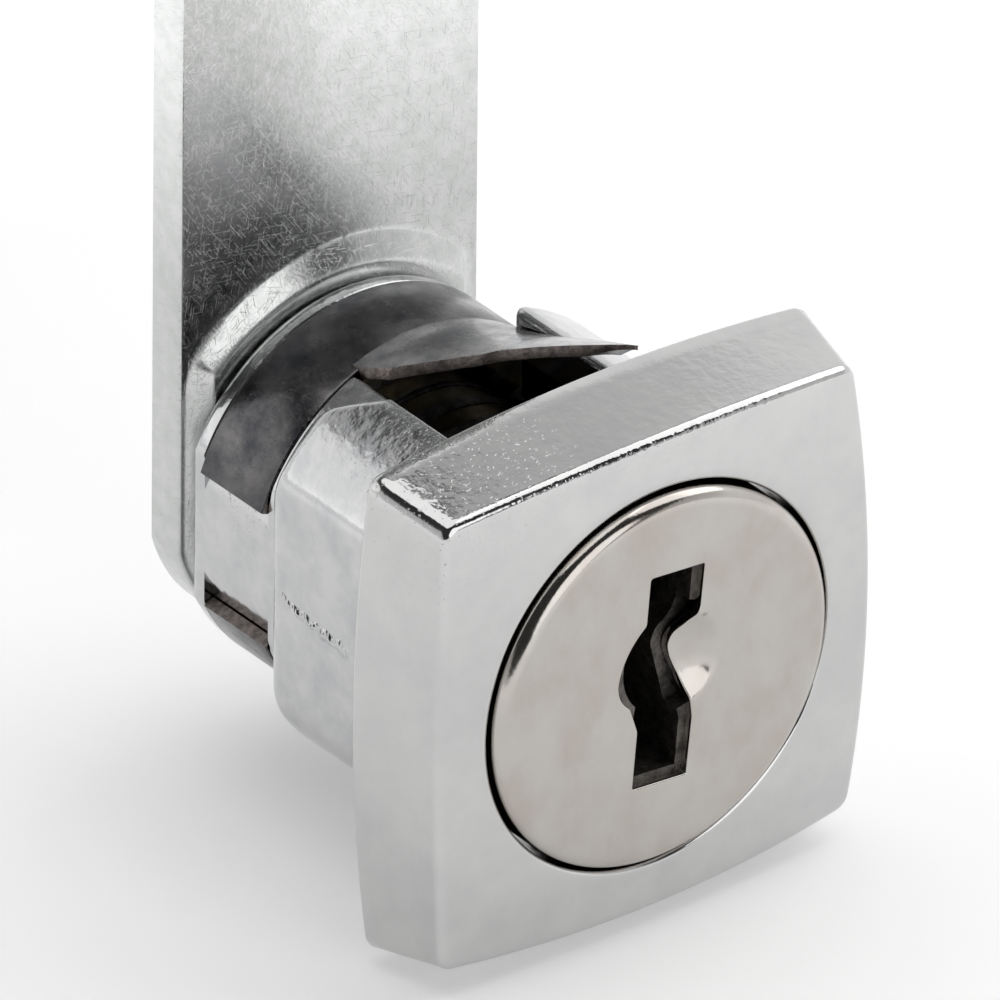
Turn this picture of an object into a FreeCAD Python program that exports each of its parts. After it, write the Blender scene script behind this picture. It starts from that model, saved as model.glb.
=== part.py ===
import FreeCAD, Part
import math
import os

import Sketcher
from FreeCAD import Placement, Rotation, Vector

# Snap-in cam lock. Millimetres. The axis of the plug is the Y axis and the front looks along -Y.
# The origin is on that axis, in the bezel's back face, which lies on the panel.
# The cam points up, along +Z.

doc = FreeCAD.newDocument("CamLock")
sheet = doc.addObject("Spreadsheet::Sheet", "Sizes")


class Size:
    """A length or an angle that keeps both its number and the sheet expression that gives it."""

    def __init__(self, number, text):
        self.number = number
        self.text = text

    def __add__(self, other):
        other = as_size(other)
        return Size(self.number + other.number, f"({self.text} + {other.text})")

    def __radd__(self, other):
        return as_size(other) + self

    def __sub__(self, other):
        other = as_size(other)
        return Size(self.number - other.number, f"({self.text} - {other.text})")

    def __rsub__(self, other):
        return as_size(other) - self

    def __mul__(self, other):
        other = as_size(other)
        return Size(self.number * other.number, f"({self.text} * {other.text})")

    def __rmul__(self, other):
        return as_size(other) * self

    def __truediv__(self, other):
        other = as_size(other)
        return Size(self.number / other.number, f"({self.text} / {other.text})")

    def __neg__(self):
        return -1 * self


def as_size(value):
    """Takes a plain number or a Size."""
    if isinstance(value, Size):
        return value
    return Size(float(value), str(value))


def root(value):
    return Size(math.sqrt(value.number), f"sqrt({value.text})")


def polar(radius, angle):
    """The point at an angle that counts clockwise from the top, seen from the front."""
    turn = math.radians(angle.number)
    x = radius * Size(math.sin(turn), f"sin({angle.text} * 1 deg)")
    z = radius * Size(math.cos(turn), f"cos({angle.text} * 1 deg)")
    return x, z


def beside(radius, x):
    """The height at which a circle round the axis stands above the place x."""
    return root(radius * radius - x * x)


cells_used = 0


def size(alias, number, meaning):
    """Writes one driving size into the sheet and returns it."""
    global cells_used
    cells_used += 1
    sheet.set(f"A{cells_used}", meaning)
    sheet.set(f"B{cells_used}", number)
    sheet.setAlias(f"B{cells_used}", alias)
    return Size(float(number), f"Sizes.{alias}")


# Bezel
bezel_depth = size("bezel_depth", "5.1", "crown of the bezel to the panel face")
bezel_front_half = size("bezel_front_half", "9.9", "half chord of a side at the crown")
bezel_front_bulge = size("bezel_front_bulge", "0.6", "how far a side bows out at the crown")
bezel_back_half = size("bezel_back_half", "10.45", "half chord of a side at the panel")
bezel_back_bulge = size("bezel_back_bulge", "0.75", "how far a side bows out at the panel")
bezel_corner = size("bezel_corner", "0.8", "radius of the four corners")
bezel_edge = size("bezel_edge", "0.35", "radius of the front and back rims")
dome_radius = size("dome_radius", "102", "radius of the domed front")

# Body behind the panel
shoulder_radius = size("shoulder_radius", "9.45", "round part of the 19 mm cut-out, less play")
shoulder_half = size("shoulder_half", "7.95", "flats of the 16 mm cut-out, less play")
shoulder_gap = size("shoulder_gap", "1", "rear of the shoulders to the band of the clip")
shoulder_edge = size("shoulder_edge", "0.4", "radius of the rear edge of a shoulder")
slot_left = size("slot_left", "4", "upper slot between the shoulders, left of the axis")
slot_right = size("slot_right", "3.3", "upper slot, right of the axis; the lower slot is turned half round")
slot_corner = size("slot_corner", "1.2", "rear corner of the slot's straight wall")
slot_flare_wide = size("slot_flare_wide", "1.9", "how far the other wall opens out at the rear")
slot_flare_long = size("slot_flare_long", "2.6", "length of that opening out")
wafer_slot_left = size("wafer_slot_left", "2.9", "slot through the round body, left of the axis")
body_wall = size("body_wall", "2.45", "bore of the plug to the outside of the round body, less play")
body_flat = size("body_flat", "0.73", "depth of the flats of the round body")
collar_length = size("collar_length", "0.85", "rear collar, along the axis")
collar_edge = size("collar_edge", "0.35", "rounding of the rear edge of the collar")
body_length = size("body_length", "14.85", "panel face to the rear of the collar")

# Spring clip
clip_thickness = size("clip_thickness", "0.5", "spring steel")
clip_width = size("clip_width", "3.85", "width of the band")
clip_proud = size("clip_proud", "0.05", "band outside the body's surface")
clip_gap = size("clip_gap", "0.05", "play between band and groove")
clip_top_end = size("clip_top_end", "2.75", "height of the upper end of the band")
clip_low_end = size("clip_low_end", "3.3", "depth of the lower end of the band")
wing_left = size("wing_left", "2.75", "left edge of a wing at the band")
wing_right = size("wing_right", "3.2", "right edge of a wing, all along")
wing_lift = size("wing_lift", "0.1", "rise of a wing where it leaves the band")
wing_neck_run = size("wing_neck_run", "1.5", "band to the place where a wing starts to narrow")
wing_neck_left = size("wing_neck_left", "2.6", "left edge of a wing there")
wing_neck_rise = size("wing_neck_rise", "0.57", "rise of a wing there")
wing_bend_run = size("wing_bend_run", "4.7", "band to the small step in a wing's edge")
wing_bend_left = size("wing_bend_left", "0.6", "left edge of a wing there")
wing_bend_rise = size("wing_bend_rise", "1.64", "rise of a wing there")
wing_brow_place = size("wing_brow_place", "2", "panel face to the place where a wing's edge turns in")
wing_brow_edge = size("wing_brow_edge", "1.4", "edge of a wing there, right of the axis")
wing_brow_rise = size("wing_brow_rise", "3.02", "rise of a wing there")
wing_tip_place = size("wing_tip_place", "1", "panel face to the tip of a wing")
wing_tip_edge = size("wing_tip_edge", "2.5", "edge of a wing at its tip, right of the axis")
wing_tip_rise = size("wing_tip_rise", "3.38", "rise of a wing at its tip")
wing_root = size("wing_root", "0.3", "length of a wing inside the band")

# Bore and chambers of the housing
head_bore = size("head_bore", "8.2", "radius of the recess for the plug head")
head_bore_floor = size("head_bore_floor", "2.3", "recess floor in front of the panel face")
running_gap = size("running_gap", "0.05", "radial and end play of the plug")
chamber_half = size("chamber_half", "2.8", "half width of the side chambers")
chamber_depth = size("chamber_depth", "0.8", "chambers and retaining groove beyond the plug")
chamber_front = size("chamber_front", "0.3", "panel face to the front of the side chambers")
stop_travel = size("stop_travel", "90", "turn of the plug, degrees")
stop_play = size("stop_play", "1", "play of the lug at each stop, degrees")

# Plug
plug_lean = size("plug_lean", "5.1", "how far the plug stands clockwise at rest, degrees")
plug_radius = size("plug_radius", "5.5", "barrel of the plug")
head_radius = size("head_radius", "7.4", "head of the plug")
plug_proud = size("plug_proud", "0.25", "plug's shoulder for the cam behind the body")
plug_end_edge = size("plug_end_edge", "0.2", "chamfer of the barrel's rear end")
drive_half = size("drive_half", "3", "half of the 6 mm square")
drive_short = size("drive_short", "0.1", "square below the rear of the hub")
stop_width = size("stop_width", "30", "width of the stop lug, degrees")
stop_radius = size("stop_radius", "7", "radius of the stop lug")
stop_length = size("stop_length", "1.2", "length of the stop lug")
keyway_top = size("keyway_top", "4.6", "upper end of the plug's keyway")
keyway_low = size("keyway_low", "4.1", "lower end of the plug's keyway")
keyway_left = size("keyway_left", "1.14", "left wall of the plug's keyway")
keyway_right = size("keyway_right", "1.16", "right wall of the plug's keyway")
keyway_bow = size("keyway_bow", "1.7", "how far left the plug's keyway bows")
keyway_waist = size("keyway_waist", "0.15", "its right wall at the waist")
keyway_beyond = size("keyway_beyond", "0.75", "keyway beyond the middle of the retaining wafer")

# Face cap
cap_proud = size("cap_proud", "0.1", "cap in front of the crown")
cap_radius = size("cap_radius", "7.85", "outside of the cap")
cap_thickness = size("cap_thickness", "0.4", "stainless sheet")
cap_rim = size("cap_rim", "0.55", "rolled outer edge of the cap")
cap_skirt = size("cap_skirt", "2.6", "depth of the cap's skirt")
dimple_radius = size("dimple_radius", "2", "pressed dimple beside the keyway")
dimple_depth = size("dimple_depth", "0.75", "depth of the dimple")
dimple_right = size("dimple_right", "0.6", "middle of the dimple, right of the axis")
dimple_up = size("dimple_up", "0.7", "middle of the dimple, above the axis")
aperture_top = size("aperture_top", "4.7", "upper end of the aperture")
aperture_low = size("aperture_low", "4.42", "lower end of the aperture")
aperture_left = size("aperture_left", "1.14", "left side of the aperture's ends")
aperture_right = size("aperture_right", "1.46", "right side of the aperture's ends")
aperture_bow = size("aperture_bow", "2.28", "how far left the aperture bows")
aperture_waist = size("aperture_waist", "0.78", "its right side at the waist")
bow_top = size("bow_top", "2.67", "height where the left bow starts")
bow_middle = size("bow_middle", "0.4", "height of its furthest point")
bow_corner = size("bow_corner", "0.77", "depth of the corner below it")
bow_corner_in = size("bow_corner_in", "0.67", "how far that corner lies inside the furthest point")
bow_end = size("bow_end", "1.9", "depth where the left bow ends")
bow_radius = size("bow_radius", "3.4", "upper arc of the left bow")
bow_low_radius = size("bow_low_radius", "1.35", "lower arc of the left bow")
waist_start = size("waist_start", "2.1", "depth where the right side starts to lean in")
waist_low = size("waist_low", "0.85", "height where the waist's hollow starts")
waist_high = size("waist_high", "1.91", "height where the hollow ends")
waist_end = size("waist_end", "2.83", "height where the right side is straight again")
waist_out = size("waist_out", "0.45", "how far the hollow's upper end lies outside its lower end")
waist_radius = size("waist_radius", "0.93", "arc of the hollow")
waist_top_radius = size("waist_top_radius", "1.6", "arc above the hollow")

# Wafers and their springs
wafer_count = 6
wafer_first = size("wafer_first", "1.1", "panel face to the middle of the first wafer")
wafer_last_gap = size("wafer_last_gap", "1.85", "middle of the last wafer to the retaining wafer")
wafer_thickness = size("wafer_thickness", "0.9", "wafer sheet")
wafer_gap = size("wafer_gap", "0.05", "play of a wafer in its slot")
wafer_half = size("wafer_half", "3", "half width of a wafer")
wafer_shoulder = size("wafer_shoulder", "3.8", "height of a wafer's shoulders")
wafer_nose = size("wafer_nose", "2.2", "half width of a wafer's nose")
wafer_travel = size("wafer_travel", "0.7", "how far a wafer stands out of the plug")
window_left = size("window_left", "2.45", "window left of the middle")
window_right = size("window_right", "1.45", "window right of the middle")
window_half = size("window_half", "2.9", "half height of the window")
tab_reach = size("tab_reach", "1.15", "spring tab beyond the wafer's side")
tab_half = size("tab_half", "0.4", "half height of the spring tab")
spring_radius = size("spring_radius", "0.38", "middle radius of a coil")
wire_radius = size("wire_radius", "0.1", "spring wire")
spring_seat = size("spring_seat", "3.2", "depth of a spring's seat below the axis")
spring_turns = 4
retainer_back = size("retainer_back", "3.65", "middle of the retaining wafer to the rear of the body")
retainer_travel = size("retainer_travel", "0.75", "how far the retaining wafer can be pushed in")
# How far each wafer's window lies off the middle for the cut of the key there
window_offsets = (
    size("window_offset_1", "0.1", "first wafer"),
    size("window_offset_2", "0.35", "second wafer"),
    size("window_offset_3", "0.2", "third wafer"),
    size("window_offset_4", "0.4", "fourth wafer"),
    size("window_offset_5", "0.15", "fifth wafer"),
    size("window_offset_6", "0.3", "sixth wafer"),
)

# Cam, washer and screw
cam_half = size("cam_half", "7.2", "half width of the cam")
cam_length = size("cam_length", "33", "axis to the end of the cam")
cam_thickness = size("cam_thickness", "1.8", "cam steel")
cam_heel = size("cam_heel", "7.45", "radius of the round end below the axis")
cam_corner = size("cam_corner", "1.5", "corner radius of the free end")
boss_height = size("boss_height", "0.5", "hub pressed towards the lock")
boss_top = size("boss_top", "8.4", "upper arc of the flat of the hub")
boss_half = size("boss_half", "6", "half width of the flat of the hub")
boss_low = size("boss_low", "6.3", "lower arc of the flat of the hub")
boss_top_slope = size("boss_top_slope", "1", "slope of the hub above")
boss_over = size("boss_over", "0.1", "foot of the hub past the plate's edge, before it is trimmed")
boss_wall = size("boss_wall", "0.6", "hollow behind the hub inside the flat of the hub")
cam_hole_half = size("cam_hole_half", "3.3", "half of the square hole")
cam_hole_corner = size("cam_hole_corner", "0.4", "corner radius of the square hole")
washer_radius = size("washer_radius", "4.6", "outside of the lock washer")
washer_hole = size("washer_hole", "2.1", "hole of the lock washer")
washer_thickness = size("washer_thickness", "0.6", "lock washer")
tooth_length = size("tooth_length", "0.9", "depth of the washer's notches")
tooth_half = size("tooth_half", "0.35", "half width of the washer's notches")
tooth_count = 10
screw_radius = size("screw_radius", "1.95", "shank of the M4 screw")
thread_gap = size("thread_gap", "0.05", "play of the plain shank in its hole")
screw_length = size("screw_length", "5", "shank below the head")
screw_room = size("screw_room", "0.2", "hole beyond the screw's tip")
screw_head = size("screw_head", "3.9", "radius of the pan head")
screw_head_height = size("screw_head_height", "2.4", "height of the pan head")
screw_head_edge = size("screw_head_edge", "1.5", "straight rim of the pan head")
recess_half_width = size("recess_half_width", "0.45", "half width of an arm of the cross recess")
recess_reach = size("recess_reach", "2.1", "length of an arm of the cross recess")
recess_depth = size("recess_depth", "1.3", "depth of the cross recess")

doc.recompute()

# Two places closer than this are the same
touch = 0.01

# Places along the axis that several pieces share
crown = -bezel_depth
beyond = size("beyond", "1", "how far a cutting shape runs past what it cuts")
body_radius = plug_radius + body_wall
body_half = body_radius - body_flat
chamber_reach = plug_radius + chamber_depth
clip_outer = body_radius + clip_proud
clip_inner = clip_outer - clip_thickness
groove_radius = clip_inner - clip_gap
collar_front = body_length - collar_length
clip_back = collar_front - clip_gap
clip_front = clip_back - clip_width
groove_front = clip_front - clip_gap
shoulder_length = clip_front - shoulder_gap
bore_radius = plug_radius + running_gap
retainer_place = body_length - retainer_back
wafer_pitch = (retainer_place - wafer_last_gap - wafer_first) / (wafer_count - 1)
keyway_end = retainer_place + keyway_beyond
plug_end = body_length + plug_proud
head_back = -head_bore_floor - running_gap
cap_front = crown - cap_proud
head_front = cap_front + cap_thickness
spring_place = wafer_half + tab_reach / 2
spring_hole = spring_radius + wire_radius + wafer_gap
cam_front = plug_end + boss_height
cam_back = cam_front + cam_thickness
hub_back = plug_end + cam_thickness
head_seat = hub_back + washer_thickness
screw_tip = head_seat - screw_length
inside_plug = plug_radius - running_gap
sub_parts = []


def bind(item, attribute, length):
    """Sets a size of an object and ties it to the sheet."""
    item.setExpression(attribute, as_size(length).text)


def new_body(label):
    body = doc.addObject("PartDesign::Body", label)
    body.Label = label
    sub_parts.append(body)
    return body


def origin_plane(body, role):
    for item in body.Origin.OriginFeatures:
        if item.Role == role:
            return item


def new_sketch(body, name, role, offset=0):
    """A sketch on a plane of its body's origin, moved along the plane's normal."""
    sketch = body.newObject("Sketcher::SketchObject", name)
    sketch.AttachmentSupport = [(origin_plane(body, role), "")]
    sketch.MapMode = "FlatFace"
    offset = as_size(offset)
    sketch.AttachmentOffset = Placement(Vector(0, 0, offset.number), Rotation())
    sketch.setExpression("AttachmentOffset.Base.z", offset.text)
    return sketch


def hold(sketch, item, point, direction, length):
    """Holds one coordinate of a point at its distance from the origin."""
    length = as_size(length)
    if length.number == 0:
        axis = -2 if direction == "DistanceX" else -1
        sketch.addConstraint(Sketcher.Constraint("PointOnObject", item, point, axis))
        return
    rule = Sketcher.Constraint(direction, -1, 1, item, point, length.number)
    index = sketch.addConstraint(rule)
    sketch.setExpression(f"Constraints[{index}]", length.text)


def arc_middle(start, end, radius, bend):
    """The middle of the shorter arc, or with a bend of 2 or -2 of the longer one.
    A positive bend turns left on the way from start to end."""
    chord = end - start
    half = chord.Length / 2
    across = Vector(-chord.y, chord.x, 0) / chord.Length
    rise = math.sqrt(max(radius * radius - half * half, 0))
    side = 1 if bend > 0 else -1
    depth = radius + rise if abs(bend) == 2 else radius - rise
    return (start + end) / 2 - across * side * depth


def draw(sketch, corners):
    """A closed outline. A corner is (x, y), or (x, y, radius, bend) where an arc arrives at it."""
    points = [Vector(as_size(c[0]).number, as_size(c[1]).number, 0) for c in corners]
    edges = []
    for index, corner in enumerate(corners):
        start = points[index - 1]
        end = points[index]
        if len(corner) == 2:
            item = sketch.addGeometry(Part.LineSegment(start, end))
            edges.append((item, 1, 2))
            continue
        radius = as_size(corner[2])
        middle = arc_middle(start, end, radius.number, corner[3])
        item = sketch.addGeometry(Part.Arc(start, middle, end))
        misses = [sketch.getPoint(item, number).distanceToPoint(end) for number in (1, 2)]
        forwards = misses[1] < misses[0]
        edges.append((item, 1, 2) if forwards else (item, 2, 1))
        rule = sketch.addConstraint(Sketcher.Constraint("Radius", item, radius.number))
        sketch.setExpression(f"Constraints[{rule}]", radius.text)
    for index, (item, first, last) in enumerate(edges):
        follower = edges[(index + 1) % len(edges)]
        sketch.addConstraint(Sketcher.Constraint("Coincident", item, last, follower[0], follower[1]))
        hold(sketch, item, last, "DistanceX", corners[index][0])
        hold(sketch, item, last, "DistanceY", corners[index][1])


def draw_circle(sketch, x, y, radius):
    radius = as_size(radius)
    centre = Vector(as_size(x).number, as_size(y).number, 0)
    item = sketch.addGeometry(Part.Circle(centre, Vector(0, 0, 1), radius.number))
    hold(sketch, item, 3, "DistanceX", x)
    hold(sketch, item, 3, "DistanceY", y)
    rule = sketch.addConstraint(Sketcher.Constraint("Radius", item, radius.number))
    sketch.setExpression(f"Constraints[{rule}]", radius.text)


def block(left, right, low, high):
    """The corners of a rectangle."""
    return [(left, low), (right, low), (right, high), (left, high)]


def shaped(body, kind, name, sketch):
    made = body.newObject(f"PartDesign::{kind}", name)
    made.Profile = (sketch, [""])
    return made


def slab(body, kind, name, front, back, corners):
    """A Pad or a Pocket of an outline seen from the front, between two places along the axis."""
    sketch = new_sketch(body, f"{name}_outline", "XZ_Plane", -as_size(front))
    draw(sketch, corners)
    made = shaped(body, kind, name, sketch)
    made.Reversed = kind == "Pad"
    bind(made, "Length", as_size(back) - front)
    return made


def turned(body, kind, name, corners):
    """A Revolution or a Groove of an outline of (place along the axis, radius)."""
    sketch = new_sketch(body, f"{name}_outline", "YZ_Plane")
    draw(sketch, corners)
    made = shaped(body, kind, name, sketch)
    made.ReferenceAxis = (sketch, ["H_Axis"])
    made.Angle = 360
    return made


def from_above(body, name, corners, height=None):
    """A Pocket of an outline seen from above, equally up and down, or through everything."""
    sketch = new_sketch(body, f"{name}_outline", "XY_Plane")
    draw(sketch, corners)
    made = shaped(body, "Pocket", name, sketch)
    made.SideType = "Symmetric"
    if height is None:
        made.Type = "ThroughAll"
    else:
        bind(made, "Length", height)
    return made


def slot_pair(body, name, corners):
    """Two Pockets of an outline: one cut upwards, and one turned half round and cut downwards."""
    for side, half in ((1, "upper"), (-1, "lower")):
        sketch = new_sketch(body, f"{half}_{name}_outline", "XY_Plane")
        draw(sketch, [(side * corner[0], corner[1]) + turned_arc(corner, side) for corner in corners])
        made = shaped(body, "Pocket", f"{half}_{name}", sketch)
        made.Type = "ThroughAll"
        made.Reversed = side == 1


def turned_arc(corner, side):
    """The arc that arrives at a corner, with its bend turned over where the outline is mirrored."""
    if len(corner) == 2:
        return ()
    return (corner[2], side * corner[3])


def rounded(body, kind, name, base, radius, is_wanted):
    """A Fillet or a Chamfer on the edges of the last feature that a test picks out."""
    doc.recompute()
    names = []
    for index, edge in enumerate(base.Shape.Edges, start=1):
        if is_wanted(edge):
            names.append(f"Edge{index}")
    made = body.newObject(f"PartDesign::{kind}", name)
    made.Base = (base, names)
    if kind == "Fillet":
        bind(made, "Radius", radius)
    else:
        bind(made, "Size", radius)
    return made


def spread(edge):
    """The least distance of three points of an edge from the axis, and their first and last place along it."""
    first, last = edge.ParameterRange
    points = [edge.valueAt(first), edge.valueAt((first + last) / 2), edge.valueAt(last)]
    radii = [math.hypot(p.x, p.z) for p in points]
    places = [p.y for p in points]
    return min(radii), min(places), max(places)


def bowed_square(half, bulge, corner):
    """A square whose sides bow outwards as large arcs, with corner arcs that touch two sides each.
    The centre of a corner arc lies on the diagonal, as far from a side's centre as the two radii differ."""
    radius = (half * half + bulge * bulge) / (2 * bulge)
    centre = radius - half - bulge
    reach = radius - corner
    diagonal = (root(2 * reach * reach - centre * centre) - centre) / 2
    near = radius * diagonal / reach
    far = radius * (diagonal + centre) / reach - centre
    return [
        (-near, -far, corner, 1),
        (near, -far, radius, 1),
        (far, -near, corner, 1),
        (far, near, radius, 1),
        (near, far, corner, 1),
        (-near, far, radius, 1),
        (-far, near, corner, 1),
        (-far, -near, radius, 1),
    ]


def make_housing():
    """One casting: bezel, two shoulders for the cut-out, and a body with the clip groove and the bore."""
    body = new_body("housing")

    # The bezel widens towards the panel, and its front is part of a large sphere
    front = new_sketch(body, "bezel_front", "XZ_Plane", bezel_depth)
    draw(front, bowed_square(bezel_front_half, bezel_front_bulge, bezel_corner))
    back = new_sketch(body, "bezel_back", "XZ_Plane")
    draw(back, bowed_square(bezel_back_half, bezel_back_bulge, bezel_corner))
    bezel = shaped(body, "AdditiveLoft", "bezel", front)
    bezel.Sections = [(back, [""])]
    bezel.Ruled = True

    wide = 2 * bezel_back_half
    sag = dome_radius - root(dome_radius * dome_radius - wide * wide)
    dome = [
        (crown - beyond, 0),
        (crown - beyond, wide),
        (crown + sag, wide),
        (crown, 0, dome_radius, 1),
    ]
    turned(body, "Groove", "bezel_dome", dome)

    # The shoulders fill the 19 x 16 mm cut-out and leave a slot between them at the top and the bottom
    blank = [
        (-beyond, 0),
        (shoulder_length, 0),
        (shoulder_length, shoulder_radius - shoulder_edge),
        (shoulder_length - shoulder_edge, shoulder_radius, shoulder_edge, 1),
        (-beyond, shoulder_radius),
    ]
    turned(body, "Revolution", "shoulder_blank", blank)
    flare_start = shoulder_length - slot_flare_long
    flare_end = -slot_left - slot_flare_wide
    slot = [
        (-slot_left, 0),
        (slot_right, 0),
        (slot_right, shoulder_length - slot_corner),
        (slot_right + slot_corner, shoulder_length, slot_corner, -1),
        (slot_right + slot_corner, shoulder_length + beyond),
        (flare_end, shoulder_length + beyond),
        (flare_end, shoulder_length),
        (-slot_left, flare_start),
    ]
    slot_pair(body, "slot", slot)
    outside = shoulder_radius + beyond
    for side, name in ((1, "right"), (-1, "left")):
        flat = block(side * shoulder_half, side * outside, 0, shoulder_length + beyond)
        from_above(body, f"shoulder_flat_{name}", flat)

    # The body carries the clip in a groove in front of its rear collar
    barrel = [
        (-beyond, 0),
        (body_length, 0),
        (body_length, body_radius - collar_edge),
        (body_length - collar_edge, body_radius, collar_edge, 1),
        (collar_front, body_radius),
        (collar_front, groove_radius),
        (groove_front, groove_radius),
        (groove_front, body_radius),
        (-beyond, body_radius),
    ]
    turned(body, "Revolution", "body_barrel", barrel)
    for side, name in ((1, "right"), (-1, "left")):
        flat = [
            (side * body_half, shoulder_length),
            (side * outside, shoulder_length),
            (side * outside, body_length + beyond),
            (side * body_half, body_length + beyond),
        ]
        from_above(body, f"body_flat_{name}", flat)
    slot_pair(body, "wafer_slot", block(-wafer_slot_left, slot_right, 0, groove_front))

    # The recess for the plug head, the bore with its retaining groove, and the closed chambers at the sides
    groove_half = wafer_thickness / 2 + 2 * wafer_gap
    bore = [
        (crown - beyond, 0),
        (crown - beyond, head_bore),
        (-head_bore_floor, head_bore),
        (-head_bore_floor, bore_radius),
        (retainer_place - groove_half, bore_radius),
        (retainer_place - groove_half, chamber_reach),
        (retainer_place + groove_half, chamber_reach),
        (retainer_place + groove_half, bore_radius),
        (body_length + beyond, bore_radius),
        (body_length + beyond, 0),
    ]
    turned(body, "Groove", "bore", bore)
    chamber = block(-chamber_reach, chamber_reach, chamber_front, groove_front)
    from_above(body, "side_chambers", chamber, 2 * chamber_half)

    # The stop lug of the plug swings in this sector of the recess floor
    opening = plug_lean + 180 - stop_width / 2 - stop_play
    closing = plug_lean + 180 + stop_width / 2 + stop_travel + stop_play
    inner = bore_radius - running_gap * 2
    outer = stop_radius + 2 * running_gap
    start_inner = polar(inner, opening)
    start_outer = polar(outer, opening)
    end_outer = polar(outer, closing)
    end_inner = polar(inner, closing)
    sector = [
        (start_inner[0], start_inner[1], inner, 1),
        start_outer,
        (end_outer[0], end_outer[1], outer, -1),
        end_inner,
    ]
    floor = stop_length + running_gap - head_bore_floor
    recess = slab(body, "Pocket", "stop_recess", -head_bore_floor, floor, sector)

    def is_rim(edge):
        near_axis, front_place, back_place = spread(edge)
        at_front = back_place < crown.number + 2 * sag.number
        at_back = abs(front_place) < touch and abs(back_place) < touch
        return near_axis > bezel_front_half.number and (at_front or at_back)

    rounded(body, "Fillet", "bezel_rims", recess, bezel_edge, is_rim)


def make_clip():
    """One strip of spring steel: a band open at the left, and two wings flared out behind the panel."""
    body = new_body("spring_clip")
    outer_top = -beside(clip_outer, clip_top_end)
    outer_low = -beside(clip_outer, clip_low_end)
    inner_top = -beside(clip_inner, clip_top_end)
    inner_low = -beside(clip_inner, clip_low_end)
    ring = [
        (outer_low, -clip_low_end, clip_outer, -2),
        (inner_low, -clip_low_end),
        (inner_top, clip_top_end, clip_inner, 2),
        (outer_top, clip_top_end),
    ]
    slab(body, "Pad", "band", clip_front, clip_back, ring)

    # A wing is a row of slices of the band's arc, each narrower and further out than the one behind it
    def wing_slice(name, place, left, rise):
        sketch = new_sketch(body, name, "XZ_Plane", -place)
        right = wing_right
        slice_corners = [
            (left, beside(clip_outer, left) + rise, clip_outer, 1),
            (left, beside(clip_inner, left) + rise),
            (right, beside(clip_inner, right) + rise, clip_inner, -1),
            (right, beside(clip_outer, right) + rise),
        ]
        draw(sketch, slice_corners)
        return sketch

    neck_place = clip_front - wing_neck_run
    bend_place = clip_front - wing_bend_run
    slices = [
        wing_slice("wing_root_slice", clip_front + wing_root, -wing_left, as_size(0)),
        wing_slice("wing_front_slice", clip_front, -wing_left, wing_lift),
        wing_slice("wing_neck_slice", neck_place, -wing_neck_left, wing_neck_rise),
        wing_slice("wing_bend_slice", bend_place, -wing_bend_left, wing_bend_rise),
        wing_slice("wing_brow_slice", wing_brow_place, wing_brow_edge, wing_brow_rise),
        wing_slice("wing_tip_slice", wing_tip_place, wing_tip_edge, wing_tip_rise),
    ]
    wing = shaped(body, "AdditiveLoft", "wing", slices[0])
    wing.Sections = [(item, [""]) for item in slices[1:]]
    wing.Ruled = True
    doc.recompute()
    pair = body.newObject("PartDesign::PolarPattern", "wing_pair")
    pair.Originals = [wing]
    pair.Axis = (origin_plane(body, "Y_Axis"), [""])
    pair.Angle = 360
    pair.Occurrences = 2
    body.Tip = pair


def lean(item, extra=0):
    """Turns a sub-part of the plug group round the axis to where it stands at rest."""
    angle = plug_lean + extra
    item.Placement = Placement(Vector(0, 0, 0), Rotation(Vector(0, 1, 0), angle.number))
    item.setExpression("Placement.Rotation.Angle", angle.text)


def bowed_keyway(top, low, left, right, bow, waist):
    """The outline of the aperture and of the keyway: straight ends, and a middle that bows to the left."""
    return [
        (-left, top),
        (-left, bow_top),
        (-bow, bow_middle, bow_radius, 1),
        (bow_corner_in - bow, -bow_corner, bow_low_radius, 1),
        (-left, -bow_end),
        (-left, -low),
        (right, -low),
        (right, -waist_start),
        (waist, waist_low),
        (waist + waist_out, waist_high, waist_radius, -1),
        (right, waist_end, waist_top_radius, 1),
        (right, top),
    ]


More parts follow.
